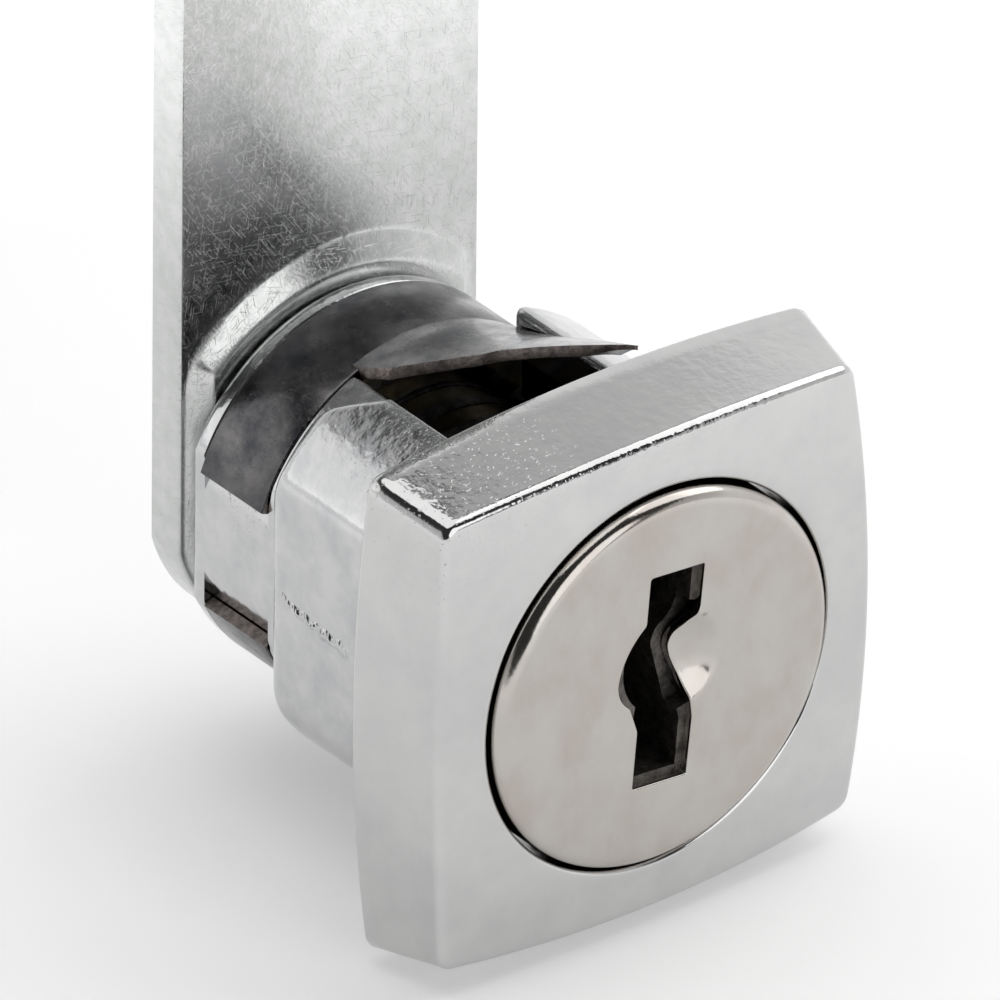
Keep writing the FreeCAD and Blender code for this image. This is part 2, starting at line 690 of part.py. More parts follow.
def make_plug():
    """The plug: a head under the cap, a barrel with the wafer slots, a stop lug, and the cam's square."""
    body = new_body("plug")
    drive_end = hub_back - drive_short
    outline = [
        (head_front, 0),
        (head_front, head_radius),
        (head_back, head_radius),
        (head_back, plug_radius),
        (plug_end - plug_end_edge, plug_radius),
        (plug_end, plug_radius - plug_end_edge),
        (plug_end, 0),
    ]
    turned(body, "Revolution", "barrel", outline)
    opening = 180 - stop_width / 2
    closing = 180 + stop_width / 2
    inner = inside_plug
    start_inner = polar(inner, opening)
    start_outer = polar(stop_radius, opening)
    end_outer = polar(stop_radius, closing)
    end_inner = polar(inner, closing)
    lug = [
        (start_inner[0], start_inner[1], inner, 1),
        start_outer,
        (end_outer[0], end_outer[1], stop_radius, -1),
        end_inner,
    ]
    slab(body, "Pad", "stop_lug", head_back, stop_length - head_bore_floor, lug)
    square = block(-drive_half, drive_half, -drive_half, drive_half)
    slab(body, "Pad", "drive_square", plug_end, drive_end, square)

    # The keyway, the dimple's seat in the head, and the hole for the screw
    keyway = bowed_keyway(keyway_top, keyway_low, keyway_left, keyway_right, keyway_bow, keyway_waist)
    slab(body, "Pocket", "keyway", head_front, keyway_end, keyway)
    seat = new_sketch(body, "dimple_seat_outline", "XZ_Plane", -head_front)
    draw_circle(seat, dimple_right, dimple_up, dimple_radius + cap_thickness)
    seat_cut = shaped(body, "Pocket", "dimple_seat", seat)
    bind(seat_cut, "Length", dimple_depth + running_gap)
    hole_end = screw_tip - screw_room
    hole = new_sketch(body, "screw_hole_outline", "XZ_Plane", -hole_end)
    draw_circle(hole, 0, 0, screw_radius + thread_gap)
    hole_cut = shaped(body, "Pocket", "screw_hole", hole)
    bind(hole_cut, "Length", drive_end + beyond - hole_end)

    # A slot, a tab chamber and a spring hole for each wafer, on alternate sides
    reach = plug_radius + beyond
    side_wall = wafer_half + wafer_gap
    tab_wall = wafer_half + tab_reach + wafer_gap
    tab_top = tab_half + wafer_travel + wafer_gap
    tab_low = tab_half + wafer_gap
    for number in range(wafer_count + 1):
        is_retainer = number == wafer_count
        place = retainer_place if is_retainer else wafer_first + number * wafer_pitch
        side = 1 if number % 2 == 0 else -1
        front = place - wafer_thickness / 2 - wafer_gap
        back = place + wafer_thickness / 2 + wafer_gap
        slot = block(-side_wall, side_wall, -reach, reach)
        slab(body, "Pocket", f"slot_{number + 1}", front, back, slot)
        high = tab_low if is_retainer else tab_top
        low = -tab_half - retainer_travel - wafer_gap if is_retainer else -tab_low
        tab_chamber = block(side * plug_radius / 2, side * tab_wall, side * low, side * high)
        slab(body, "Pocket", f"tab_chamber_{number + 1}", front, back, tab_chamber)
        hole = new_sketch(body, f"spring_hole_{number + 1}_outline", "XY_Plane", -side * spring_seat)
        draw_circle(hole, side * spring_place, place, spring_hole)
        drilled = shaped(body, "Pocket", f"spring_hole_{number + 1}", hole)
        drilled.Reversed = side == 1
        bind(drilled, "Length", spring_seat)
    lean(body)


def make_cap():
    """A stainless cap rolled over the plug head, with a pressed dimple round the keyway aperture."""
    body = new_body("face_cap")
    skirt_end = cap_front + cap_skirt
    outline = [
        (cap_front, 0),
        (cap_front, cap_radius - cap_rim),
        (cap_front + cap_rim, cap_radius, cap_rim, -1),
        (skirt_end, cap_radius),
        (skirt_end, cap_radius - cap_thickness),
        (head_front, cap_radius - cap_thickness),
        (head_front, 0),
    ]
    turned(body, "Revolution", "pressing", outline)

    # The dimple's axis lies beside the plug's. The sheet bulges behind it as deep as it is hollow in front.
    bowl_radius = (dimple_radius * dimple_radius + dimple_depth * dimple_depth) / (2 * dimple_depth)
    for kind, name, face in (("Revolution", "bulge", head_front), ("Groove", "dimple", cap_front)):
        sketch = new_sketch(body, f"{name}_outline", "YZ_Plane", dimple_right)
        bowl = [
            (face, dimple_up),
            (face + dimple_depth, dimple_up),
            (face, dimple_up + dimple_radius, bowl_radius, 1),
        ]
        draw(sketch, bowl)
        draw_turning_axis(sketch, dimple_up)
        made = shaped(body, kind, name, sketch)
        made.ReferenceAxis = (sketch, ["Axis0"])
        made.Angle = 360
    aperture = bowed_keyway(
        aperture_top, aperture_low, aperture_left, aperture_right, aperture_bow, aperture_waist
    )
    slab(body, "Pocket", "aperture", cap_front - beyond, head_front + beyond, aperture)
    lean(body)


def make_wafer(label, place, window_offset, nose_reach, extra_turn):
    """A wafer: a plate with two noses, the window for the key, and a side tab that the spring pushes on."""
    body = new_body(label)
    front = place - wafer_thickness / 2
    back = place + wafer_thickness / 2
    nose_side = beside(nose_reach, wafer_nose)
    tail_side = beside(inside_plug, wafer_nose)
    outline = [
        (-wafer_half, -wafer_shoulder),
        (-wafer_nose, -wafer_shoulder),
        (-wafer_nose, -tail_side),
        (wafer_nose, -tail_side, inside_plug, 1),
        (wafer_nose, -wafer_shoulder),
        (wafer_half, -wafer_shoulder),
        (wafer_half, -tab_half),
        (wafer_half + tab_reach, -tab_half),
        (wafer_half + tab_reach, tab_half),
        (wafer_half, tab_half),
        (wafer_half, wafer_shoulder),
        (wafer_nose, wafer_shoulder),
        (wafer_nose, nose_side),
        (-wafer_nose, nose_side, nose_reach, 1),
        (-wafer_nose, wafer_shoulder),
        (-wafer_half, wafer_shoulder),
    ]
    slab(body, "Pad", "plate", front, back, outline)
    window = block(-window_left, window_right, window_offset - window_half, window_offset + window_half)
    slab(body, "Pocket", "window", front - beyond, back + beyond, window)
    lean(body, extra_turn)


def make_spring(label, place, top, extra_turn):
    """A coil spring of square wire between its seat in the plug and a wafer's tab."""
    body = new_body(label)
    wire = new_sketch(body, f"{label}_wire", "YZ_Plane", spring_place)
    low = wire_radius - spring_seat
    near = place + spring_radius - wire_radius
    far = place + spring_radius + wire_radius
    draw(wire, block(near, far, low - wire_radius, low + wire_radius))
    line = new_sketch(body, f"{label}_axis", "YZ_Plane", spring_place)
    draw_axis(line, place, low)
    coil = shaped(body, "AdditiveHelix", f"{label}_coil", wire)
    coil.ReferenceAxis = (line, ["Edge1"])
    coil.Mode = "height-turns-growth"
    bind(coil, "Height", top - 2 * wire_radius + spring_seat)
    coil.Turns = spring_turns
    lean(body, extra_turn)


def draw_axis(sketch, x, y):
    """A short upright line for a coil to wind round."""
    start = Vector(as_size(x).number, as_size(y).number, 0)
    item = sketch.addGeometry(Part.LineSegment(start, start + Vector(0, 1, 0)))
    hold(sketch, item, 1, "DistanceX", x)
    hold(sketch, item, 1, "DistanceY", y)
    sketch.addConstraint(Sketcher.Constraint("Vertical", item))
    rule = sketch.addConstraint(Sketcher.Constraint("DistanceY", item, 1, item, 2, 1))
    sketch.setExpression(f"Constraints[{rule}]", beyond.text)


def draw_turning_axis(sketch, y):
    """A construction line along the sketch's first direction, for an outline to turn round."""
    start = Vector(0, as_size(y).number, 0)
    item = sketch.addGeometry(Part.LineSegment(start, start + Vector(1, 0, 0)), True)
    hold(sketch, item, 1, "DistanceX", 0)
    hold(sketch, item, 1, "DistanceY", y)
    sketch.addConstraint(Sketcher.Constraint("Horizontal", item))
    rule = sketch.addConstraint(Sketcher.Constraint("DistanceX", item, 1, item, 2, 1))
    sketch.setExpression(f"Constraints[{rule}]", beyond.text)


def make_cam():
    """Plated steel bar: a flat plate whose hub is pressed forwards, with a square hole and a round heel."""
    body = new_body("cam")
    heel_height = beside(cam_heel, cam_half)
    outline = [
        (-cam_half, -heel_height),
        (cam_half, -heel_height, cam_heel, 1),
        (cam_half, cam_length - cam_corner),
        (cam_half - cam_corner, cam_length, cam_corner, 1),
        (cam_corner - cam_half, cam_length),
        (-cam_half, cam_length - cam_corner, cam_corner, 1),
    ]
    slab(body, "Pad", "blank", cam_front, cam_back, outline)

    def hub_outline(top, half, low):
        """An arc above, straight sides, and an arc below."""
        top_height = beside(top, half)
        low_height = beside(low, half)
        return [
            (-half, -low_height),
            (half, -low_height, low, 1),
            (half, top_height),
            (-half, top_height, top, 1),
        ]

    crest = new_sketch(body, "hub_crest", "XZ_Plane", -plug_end)
    draw(crest, hub_outline(boss_top, boss_half, boss_low))
    foot = new_sketch(body, "hub_foot", "XZ_Plane", -cam_front)
    draw(foot, hub_outline(boss_top + boss_top_slope, cam_half + boss_over, cam_heel + boss_over))
    hub = shaped(body, "AdditiveLoft", "hub", crest)
    hub.Sections = [(foot, [""])]
    hub.Ruled = True
    trim = new_sketch(body, "trim_outline", "XZ_Plane", -plug_end)
    draw(trim, outline)
    far = 2 * cam_length
    draw(trim, block(-far, far, -far, far))
    trimmed = shaped(body, "Pocket", "trimmed_edges", trim)
    bind(trimmed, "Length", boss_height)
    hollow = hub_outline(boss_top - boss_wall, boss_half - boss_wall, boss_low - boss_wall)
    slab(body, "Pocket", "rear_hollow", hub_back, cam_back + beyond, hollow)
    side = cam_hole_half
    inner = cam_hole_half - cam_hole_corner
    square = [
        (-inner, -side, cam_hole_corner, 1),
        (inner, -side),
        (side, -inner, cam_hole_corner, 1),
        (side, inner),
        (inner, side, cam_hole_corner, 1),
        (-inner, side),
        (-side, inner, cam_hole_corner, 1),
        (-side, -inner),
    ]
    slab(body, "Pocket", "square_hole", plug_end - beyond, cam_back + beyond, square)


def make_washer():
    """A lock washer with notches round its hole."""
    body = new_body("lock_washer")
    outline = [
        (hub_back, washer_hole),
        (hub_back, washer_radius),
        (head_seat, washer_radius),
        (head_seat, washer_hole),
    ]
    turned(body, "Revolution", "ring", outline)
    notch = block(-tooth_half, tooth_half, 0, washer_hole + tooth_length)
    cut = slab(body, "Pocket", "notch", hub_back - beyond, head_seat + beyond, notch)
    doc.recompute()
    pattern = body.newObject("PartDesign::PolarPattern", "notches")
    pattern.Originals = [cut]
    pattern.Axis = (origin_plane(body, "Y_Axis"), [""])
    pattern.Angle = 360
    pattern.Occurrences = tooth_count
    body.Tip = pattern


def make_screw():
    """A pan-head screw with a cross recess. Its thread stays a plain shank."""
    body = new_body("cam_screw")
    crown_place = head_seat + screw_head_height
    rise = screw_head_height - screw_head_edge
    dome = (screw_head * screw_head + rise * rise) / (2 * rise)
    outline = [
        (screw_tip, 0),
        (screw_tip, screw_radius),
        (head_seat, screw_radius),
        (head_seat, screw_head),
        (head_seat + screw_head_edge, screw_head),
        (crown_place, 0, dome, -1),
    ]
    turned(body, "Revolution", "blank", outline)
    bottom = crown_place - recess_depth
    arms = [
        (-recess_half_width, -recess_reach),
        (recess_half_width, -recess_reach),
        (recess_half_width, -recess_half_width),
        (recess_reach, -recess_half_width),
        (recess_reach, recess_half_width),
        (recess_half_width, recess_half_width),
        (recess_half_width, recess_reach),
        (-recess_half_width, recess_reach),
        (-recess_half_width, recess_half_width),
        (-recess_reach, recess_half_width),
        (-recess_reach, -recess_half_width),
        (-recess_half_width, -recess_half_width),
    ]
    slab(body, "Pocket", "cross_recess", bottom, crown_place + beyond, arms)


make_housing()
make_clip()
make_plug()
make_cap()
for number in range(wafer_count):
    half_turn = 180 * (number % 2)
    place = wafer_first + number * wafer_pitch
    offset = window_offsets[number]
    make_wafer(f"wafer_{number + 1}", place, offset, inside_plug, half_turn)
    make_spring(f"wafer_spring_{number + 1}", place, -tab_half, half_turn)
retainer_reach = inside_plug + retainer_travel
make_wafer("retaining_wafer", retainer_place, as_size(0), retainer_reach, 0)
make_spring("retaining_spring", retainer_place, -tab_half, 0)
make_cam()
make_washer()
make_screw()
doc.recompute()


def report_faults():
    """Stops if any object failed to build or any sub-part is not a sound solid."""
    for item in doc.Objects:
        if "Invalid" in item.State or "Error" in item.State:
            raise RuntimeError(f"{item.Label} failed: {item.State}")
    for item in sub_parts:
        if item.Shape.isNull() or not item.Shape.isValid():
            raise RuntimeError(f"{item.Label} has no sound shape")


report_faults()
os.makedirs("parts", exist_ok=True)
for item in sub_parts:
    item.Shape.exportStep(f"parts/{item.Label}.step")
    print(item.Label, round(item.Shape.Volume, 2), item.Shape.BoundBox)
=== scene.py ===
import math

import bmesh
import bpy
import numpy as np
from mathutils import Matrix, Vector


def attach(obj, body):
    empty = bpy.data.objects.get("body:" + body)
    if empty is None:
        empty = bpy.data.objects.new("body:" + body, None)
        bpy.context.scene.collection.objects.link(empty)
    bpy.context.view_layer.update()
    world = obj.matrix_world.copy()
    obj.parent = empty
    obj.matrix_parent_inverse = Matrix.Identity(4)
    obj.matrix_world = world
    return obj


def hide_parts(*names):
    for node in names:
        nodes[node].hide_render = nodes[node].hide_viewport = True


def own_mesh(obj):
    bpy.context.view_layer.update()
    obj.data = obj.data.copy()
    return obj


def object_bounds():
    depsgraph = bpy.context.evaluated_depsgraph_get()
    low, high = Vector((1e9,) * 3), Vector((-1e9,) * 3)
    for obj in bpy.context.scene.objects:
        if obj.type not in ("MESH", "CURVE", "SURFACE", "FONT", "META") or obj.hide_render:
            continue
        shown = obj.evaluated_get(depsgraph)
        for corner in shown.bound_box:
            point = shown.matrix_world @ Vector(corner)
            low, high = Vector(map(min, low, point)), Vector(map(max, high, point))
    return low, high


# Snap-in cam lock. Places are worked out in millimetres and become metres in the mesh.
# X runs to the right, the front looks along -Y, and the cam points up along +Z.
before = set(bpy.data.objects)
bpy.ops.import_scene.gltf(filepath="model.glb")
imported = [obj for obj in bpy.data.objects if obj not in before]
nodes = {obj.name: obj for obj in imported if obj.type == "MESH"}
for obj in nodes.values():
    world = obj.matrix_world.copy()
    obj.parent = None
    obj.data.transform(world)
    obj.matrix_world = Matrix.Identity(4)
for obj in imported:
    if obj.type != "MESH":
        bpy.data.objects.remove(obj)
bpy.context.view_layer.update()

# Camera. A long lens from the front left and above, as the photograph was taken.
# The row point (0, -5.1, 0) mm lands 164 pixels right of the middle and 180 below it.
lens_mm = 1500
sensor_mm = 36
pixels_per_mm = 26.39
image_pixels = 1000
away = np.array([-0.529, -0.667, 0.524])
away = away / np.linalg.norm(away)
level = np.cross([0, 0, 1], away)
level = level / np.linalg.norm(level)
upward = np.cross(away, level)
roll = math.radians(-0.559)
side = level * math.cos(roll) - upward * math.sin(roll)
top = level * math.sin(roll) + upward * math.cos(roll)
right_of_middle = 6.213
below_middle = 6.822
aim = np.array([0, -5.1, 0]) - side * right_of_middle + top * below_middle
distance = lens_mm / sensor_mm * image_pixels / pixels_per_mm
place = (aim + away * distance) / 1000
camera = bpy.data.objects.new("camera", bpy.data.cameras.new("camera"))
camera.data.lens = lens_mm
camera.data.sensor_width = sensor_mm
camera.data.clip_end = 10
columns = [side, top, away, place]
camera.matrix_world = Matrix([[*(column[row] for column in columns)] for row in range(3)] + [[0, 0, 0, 1]])
bpy.context.scene.collection.objects.link(camera)
bpy.context.scene.camera = camera
bpy.context.scene.view_settings.view_transform = "Standard"


# Housing. One zinc pressure casting, polished on the bezel's front and chrome plated all over.
# Its bezel is a cushion square that widens towards the panel and has a very slightly domed front.
def skin(name, places, joined_first=False, joined_second=False, sharp=30):
    """A mesh on a grid of places: each four neighbours make one face.
    Doubles are merged, so a row that shrinks to one point closes, and the faces are turned outwards."""
    rows, columns = places.shape[:2]
    numbers = np.arange(rows * columns).reshape(rows, columns)
    if joined_first:
        numbers = np.vstack([numbers, numbers[:1]])
    if joined_second:
        numbers = np.hstack([numbers, numbers[:, :1]])
    corners = [numbers[:-1, :-1], numbers[1:, :-1], numbers[1:, 1:], numbers[:-1, 1:]]
    faces = np.stack(corners, axis=-1).reshape(-1, 4)
    mesh = bpy.data.meshes.new(name)
    mesh.from_pydata((places.reshape(-1, 3) / 1000).tolist(), [], faces.tolist())
    finish_mesh(mesh, sharp)
    made = bpy.data.objects.new(name, mesh)
    bpy.context.scene.collection.objects.link(made)
    return made


def finish_mesh(mesh, sharp):
    """Merges doubles, turns the faces outwards, and shades smooth up to the angle sharp."""
    work = bmesh.new()
    work.from_mesh(mesh)
    bmesh.ops.remove_doubles(work, verts=work.verts, dist=1e-7)
    bmesh.ops.dissolve_degenerate(work, edges=work.edges, dist=1e-8)
    bmesh.ops.recalc_face_normals(work, faces=work.faces)
    work.to_mesh(mesh)
    work.free()
    mesh.shade_smooth()
    mesh.set_sharp_from_angle(angle=math.radians(sharp))


def join(name, parts):
    """One object from several closed shells, for a piece that is made of simple bodies."""
    mesh = bpy.data.meshes.new(name)
    work = bmesh.new()
    for part in parts:
        work.from_mesh(part.data)
        bpy.data.objects.remove(part)
    work.to_mesh(mesh)
    work.free()
    made = bpy.data.objects.new(name, mesh)
    bpy.context.scene.collection.objects.link(made)
    return made


def bowed_square(half, bulge, corner, inset=0.0):
    """The outline of a square whose sides bow outwards: each side is an arc of radius
    (half^2 + bulge^2) / (2 bulge), and each corner a small arc that touches two sides.
    Every point moves inwards by inset along its own normal."""
    radius = (half**2 + bulge**2) / (2 * bulge)
    centre = radius - half - bulge
    reach = radius - corner
    diagonal = (math.sqrt(2 * reach**2 - centre**2) - centre) / 2
    limit = math.asin(diagonal / reach)
    side_turn = np.linspace(-limit, limit, 33)[:-1]
    corner_turn = np.linspace(limit, math.pi / 2 - limit, 11)[:-1]
    turn = np.concatenate([side_turn, corner_turn])
    on_side = np.arange(len(turn)) < len(side_turn)
    side_reach = radius - inset
    corner_reach = corner - inset
    x = np.where(on_side, side_reach * np.sin(turn), diagonal + corner_reach * np.sin(turn))
    z = np.where(on_side, side_reach * np.cos(turn) - centre, diagonal + corner_reach * np.cos(turn))
    quarters = [(x, z), (z, -x), (-x, -z), (-z, x)]
    return np.concatenate([np.stack(pair, axis=1) for pair in quarters])


def level_loop(outline, place):
    """The points (x, place, z) of an outline. The place along the axis may differ from point to point."""
    place = np.broadcast_to(place, len(outline))
    return np.stack([outline[:, 0], place, outline[:, 1]], axis=1)


def circle_along(outline, radius):
    """Points of a circle in the directions of an outline's points."""
    length = np.linalg.norm(outline, axis=1, keepdims=True)
    return outline / length * radius


def rounding(count):
    """Sine and cosine of count angles that divide a quarter turn into equal parts."""
    turn = np.linspace(0, math.pi / 2, count)
    return zip(np.sin(turn), np.cos(turn))


crown = -5.1
dome_radius = 102
front_square = (9.9, 0.6, 0.8)
back_square = (10.45, 0.75, 0.8)
rim = 0.42
head_hole = 8.2
hole_edge = 0.2
bore = 5.55
recess_floor = -2.3
stop_radius = 7.1
stop_depth = 1.25
stop_sector = (169, 292)


def dome(x, z):
    """The bezel's front: part of a sphere of 102 mm radius whose crown is 5.1 mm in front of the panel."""
    return crown + dome_radius - np.sqrt(dome_radius**2 - x**2 - z**2)


front_outline = bowed_square(*front_square)
front_inner = bowed_square(*front_square, inset=rim)
back_outline = bowed_square(*back_square)
back_inner = bowed_square(*back_square, inset=rim)
hole = circle_along(front_outline, head_hole)
hole_out = circle_along(front_outline, head_hole + hole_edge)
clockwise = np.degrees(np.arctan2(front_outline[:, 0], front_outline[:, 1])) % 360
in_stop = (clockwise > stop_sector[0]) & (clockwise < stop_sector[1])
stop_floor = np.where(in_stop, recess_floor + stop_depth, recess_floor)
loops = [level_loop(circle_along(front_outline, bore), stop_floor)]
loops.append(level_loop(circle_along(front_outline, stop_radius), stop_floor))
loops.append(level_loop(circle_along(front_outline, stop_radius), recess_floor))
loops.append(level_loop(hole, recess_floor))
hole_front = dome(*hole_out.T)
for s, c in rounding(5):
    ring = circle_along(hole, head_hole + hole_edge * (1 - c))
    loops.append(level_loop(ring, hole_front + hole_edge * (1 - s)))
for share in np.linspace(0, 1, 9)[1:-1]:
    ring = hole_out * (1 - share) + front_inner * share
    loops.append(level_loop(ring, dome(*ring.T)))
front_edge = dome(*front_inner.T)
for s, c in rounding(7):
    ring = front_inner * (1 - s) + front_outline * s
    loops.append(level_loop(ring, front_edge + rim * (1 - c)))
for share in np.linspace(0, 1, 7)[1:-1]:
    ring = front_outline * (1 - share) + back_outline * share
    loops.append(level_loop(ring, (front_edge + rim) * (1 - share) - rim * share))
for s, c in rounding(5):
    ring = back_inner * (1 - c) + back_outline * c
    loops.append(level_loop(ring, rim * (s - 1)))
loops.append(level_loop(circle_along(front_outline, bore), 0))
bezel = skin("bezel", np.array(loops), joined_first=True, joined_second=True)

# The shoulders behind the bezel fill the cut-out: a 19 mm circle with flats 16 mm apart. The slot between
# them has one wall that opens out at the rear and one that ends in a round corner, turned half round below.
shoulder_radius = 9.45
shoulder_half = 7.95
shoulder_length = 9.1
straight_wall = 3.3
wall_corner = 1.2
flared_wall = 4.0
flare_start = 6.5
flare = 1.9
cast_edge = 0.9
small_edge = 0.35
sunk_in_bezel = 0.5


def even_loop(outline, count, soft):
    """A closed outline as count points at equal steps. Each is then the mean of the points up to soft steps
    away on both sides, which rounds the corners."""
    closed = np.vstack([outline, outline[:1]])
    gaps = np.linalg.norm(np.diff(closed, axis=0), axis=1)
    length = np.concatenate([[0], np.cumsum(gaps)])
    wanted = np.linspace(0, length[-1], count, endpoint=False)
    even = np.stack([np.interp(wanted, length, closed[:, k]) for k in (0, 1)], axis=1)
    return sum(np.roll(even, k, axis=0) for k in range(-soft, soft + 1)) / (2 * soft + 1)


def cheek_outline(upper_wall, lower_wall, radius, flat):
    """The section of one side of the body: along the circle from the upper slot wall to the flat, down it,
    along the circle to the lower slot wall, in to the bore, and back up round it."""
    first, middle, last = (math.asin(min(x / radius, 1)) for x in (upper_wall, flat, lower_wall))
    from_top, from_below = (math.asin(min(x / bore, 1)) for x in (upper_wall, lower_wall))
    inner = np.linspace(math.pi - from_below, from_top, 60)
    beside_bore = np.stack([bore * np.sin(inner), bore * np.cos(inner)], axis=1)
    upper = np.linspace(first, middle, 60)
    lower = np.linspace(middle, last, 60)
    high = np.stack([radius * np.sin(upper), radius * np.cos(upper)], axis=1)
    low = np.stack([radius * np.sin(lower), -radius * np.cos(lower)], axis=1)
    return even_loop(np.concatenate([high, low, beside_bore]), 300, 4)


def seam(loop):
    """The line that closes an end: each point meets, half way, the point as far back from the start."""
    return (loop + np.roll(loop[::-1], 1, axis=0)) / 2


def shoulder(name, hand):
    """Sections from the bezel to the rear, where the outline shrinks along a quarter circle."""
    straight = np.linspace(0.6, flare_start, 9)
    opening = np.linspace(flare_start, shoulder_length - cast_edge, 12)[1:]
    stations = [(place, 1) for place in np.concatenate([[-sunk_in_bezel, 0], straight, opening])]
    stations += [(shoulder_length - cast_edge * (1 - s), c) for s, c in rounding(13)][1:]
    loops = []
    for place, c in stations:
        past = max(place - shoulder_length + wall_corner, 0)
        upper = straight_wall + wall_corner - math.sqrt(wall_corner**2 - past**2)
        lower = flared_wall + flare * max(place - flare_start, 0) / (shoulder_length - flare_start)
        shrink = small_edge * (1 - c)
        radius = shoulder_radius - cast_edge * (1 - c)
        outline = cheek_outline(upper + shrink, lower + shrink, radius, shoulder_half - shrink)
        loops.append(level_loop(outline, place))
    loops = [seam(loops[0]), *loops, (loops[-1] + seam(loops[-1])) / 2, seam(loops[-1])]
    return skin(name, np.array(loops) * (hand, 1, hand), joined_second=True, sharp=25)


# The round body carries the spring clip in a groove in front of its rear collar
body_radius = 7.95
groove_radius = 7.45
body_half = 7.22
body_slot_left = 2.9
slot_end = 10.05
collar_front = 14.0
collar_round = 0.4
collar_flat_round = 0.3
collar_lip = 0.06
rear_face = 14.85
bore_edge = 0.15
hair = 0.01


def flat_circle(radius, half):
    """A circle cut off at x = half and x = -half, always with the same number of points."""
    corner = math.acos(min(half / radius, 0.9999))
    right = np.linspace(math.pi / 2 - corner, math.pi / 2 + corner, 13)[:-1]
    low = np.linspace(math.pi / 2 + corner, math.pi * 1.5 - corner, 49)[:-1]
    left = right + math.pi
    high = np.linspace(-math.pi / 2 + corner, math.pi / 2 - corner, 49)[:-1]
    turn = np.concatenate([high, right, low, left])
    reach = np.minimum(radius, half / np.maximum(np.abs(np.sin(turn)), 1e-6))
    return np.stack([reach * np.sin(turn), reach * np.cos(turn)], axis=1)


stations = [
    (slot_end, body_radius, body_half),
    (slot_end, groove_radius, body_half),
    (collar_front, groove_radius, body_half),
    (collar_front, body_radius - collar_lip, body_half),
    (collar_front + collar_lip, body_radius, body_half),
]
for s, c in rounding(7):
    radius = body_radius - collar_round * (1 - c)
    stations.append((rear_face - collar_round * (1 - s), radius, body_half - collar_flat_round * (1 - c)))
# Inside the bore the flats stand a hair inside the circle, so that the round sections keep their corners
stations.append((rear_face, bore + bore_edge, bore + bore_edge - hair))
stations.append((rear_face - 0.1, bore, bore - hair))
stations.append((slot_end, bore, bore - hair))
loops = [level_loop(flat_circle(radius, half), place) for place, radius, half in stations]
rear_body = skin("rear_body", np.array(loops), joined_first=True, joined_second=True)
cheeks = []
for hand in (1, -1):
    outline = cheek_outline(straight_wall, body_slot_left, body_radius, body_half)
    loops = [level_loop(outline, place) for place in (-sunk_in_bezel, 4, shoulder_length, slot_end)]
    loops = [seam(loops[0]), *loops, seam(loops[-1])]
    cheeks.append(skin("cheek", np.array(loops) * (hand, 1, hand), joined_second=True, sharp=25))

# A line of flash from the parting of the mould stands on the left shoulder: a low ridge whose height and
# course wander, as sums of sines
flash_rear = 8.4
flash_length = 4.4
flash_height = 0.17
along = np.linspace(0, 1, 141)[:, None]
over = np.linspace(-1, 1, 13)[None, :]
wander = np.sin(31 * along) * 0.3 + np.sin(53 * along + 1) * 0.25 + np.sin(97 * along + 2) * 0.2
share_up = np.clip(0.6 + 0.6 * wander + 0.2 * np.sin(140 * along + 5 * over), 0.2, 1)
height = share_up * (1 - over**2) * flash_height
width = 0.17 + 0.15 * along + 0.05 * np.sin(23 * along)
flash_y = flash_rear - flash_length * along + 0 * over
flash_z = 0.3 - 0.75 * along**0.5 + 0.06 * np.sin(40 * along) + width * over
flash_x = -shoulder_half + 0.02 - height * np.sin(math.pi * along) ** 0.3
flash = skin("flash", np.stack([flash_x, flash_y, flash_z], axis=2), sharp=60)
castings = [shoulder("right_shoulder", 1), shoulder("left_shoulder", -1), rear_body, *cheeks, flash]
casting_rear = join("casting_rear", castings)


def steps(tree, value, low, high, out_low=0.0, out_high=1.0):
    """Maps a value from between low and high to between two others, and holds it there outside them."""
    made = tree.nodes.new("ShaderNodeMapRange")
    made.inputs["From Min"].default_value = low
    made.inputs["From Max"].default_value = high
    made.inputs["To Min"].default_value = out_low
    made.inputs["To Max"].default_value = out_high
    tree.links.new(value, made.inputs["Value"])
    return made.outputs["Result"]


def combine(tree, operation, first, second):
    """One arithmetic step on two values. The second may be a plain number."""
    made = tree.nodes.new("ShaderNodeMath")
    made.operation = operation
    tree.links.new(first, made.inputs[0])
    if isinstance(second, (int, float)):
        made.inputs[1].default_value = second
    else:
        tree.links.new(second, made.inputs[1])
    return made.outputs[0]


def speckle(tree, where, size_mm, detail=3, roughness=0.5):
    """Cloudy noise whose patches are about size_mm across."""
    made = tree.nodes.new("ShaderNodeTexNoise")
    made.inputs["Scale"].default_value = 1000 / size_mm
    made.inputs["Detail"].default_value = detail
    made.inputs["Roughness"].default_value = roughness
    tree.links.new(where, made.inputs["Vector"])
    return made.outputs["Fac"]


def scratches(tree, where, angle, thin_mm, long_mm, rarity):
    """Fine straight scratches at an angle round the Y axis: the peaks of a noise that is drawn out along
    them. A scratch fades in over a small range of the noise's values above rarity."""
    turn = tree.nodes.new("ShaderNodeMapping")
    turn.vector_type = "TEXTURE"
    turn.inputs["Rotation"].default_value = (0, math.radians(angle), 0)
    turn.inputs["Scale"].default_value = (thin_mm / 1000, long_mm / 2000, long_mm / 1000)
    tree.links.new(where, turn.inputs["Vector"])
    made = tree.nodes.new("ShaderNodeTexNoise")
    made.inputs["Scale"].default_value = 1
    made.inputs["Detail"].default_value = 1
    tree.links.new(turn.outputs["Vector"], made.inputs["Vector"])
    fade = 0.06
    return steps(tree, made.outputs["Fac"], rarity, rarity + fade)


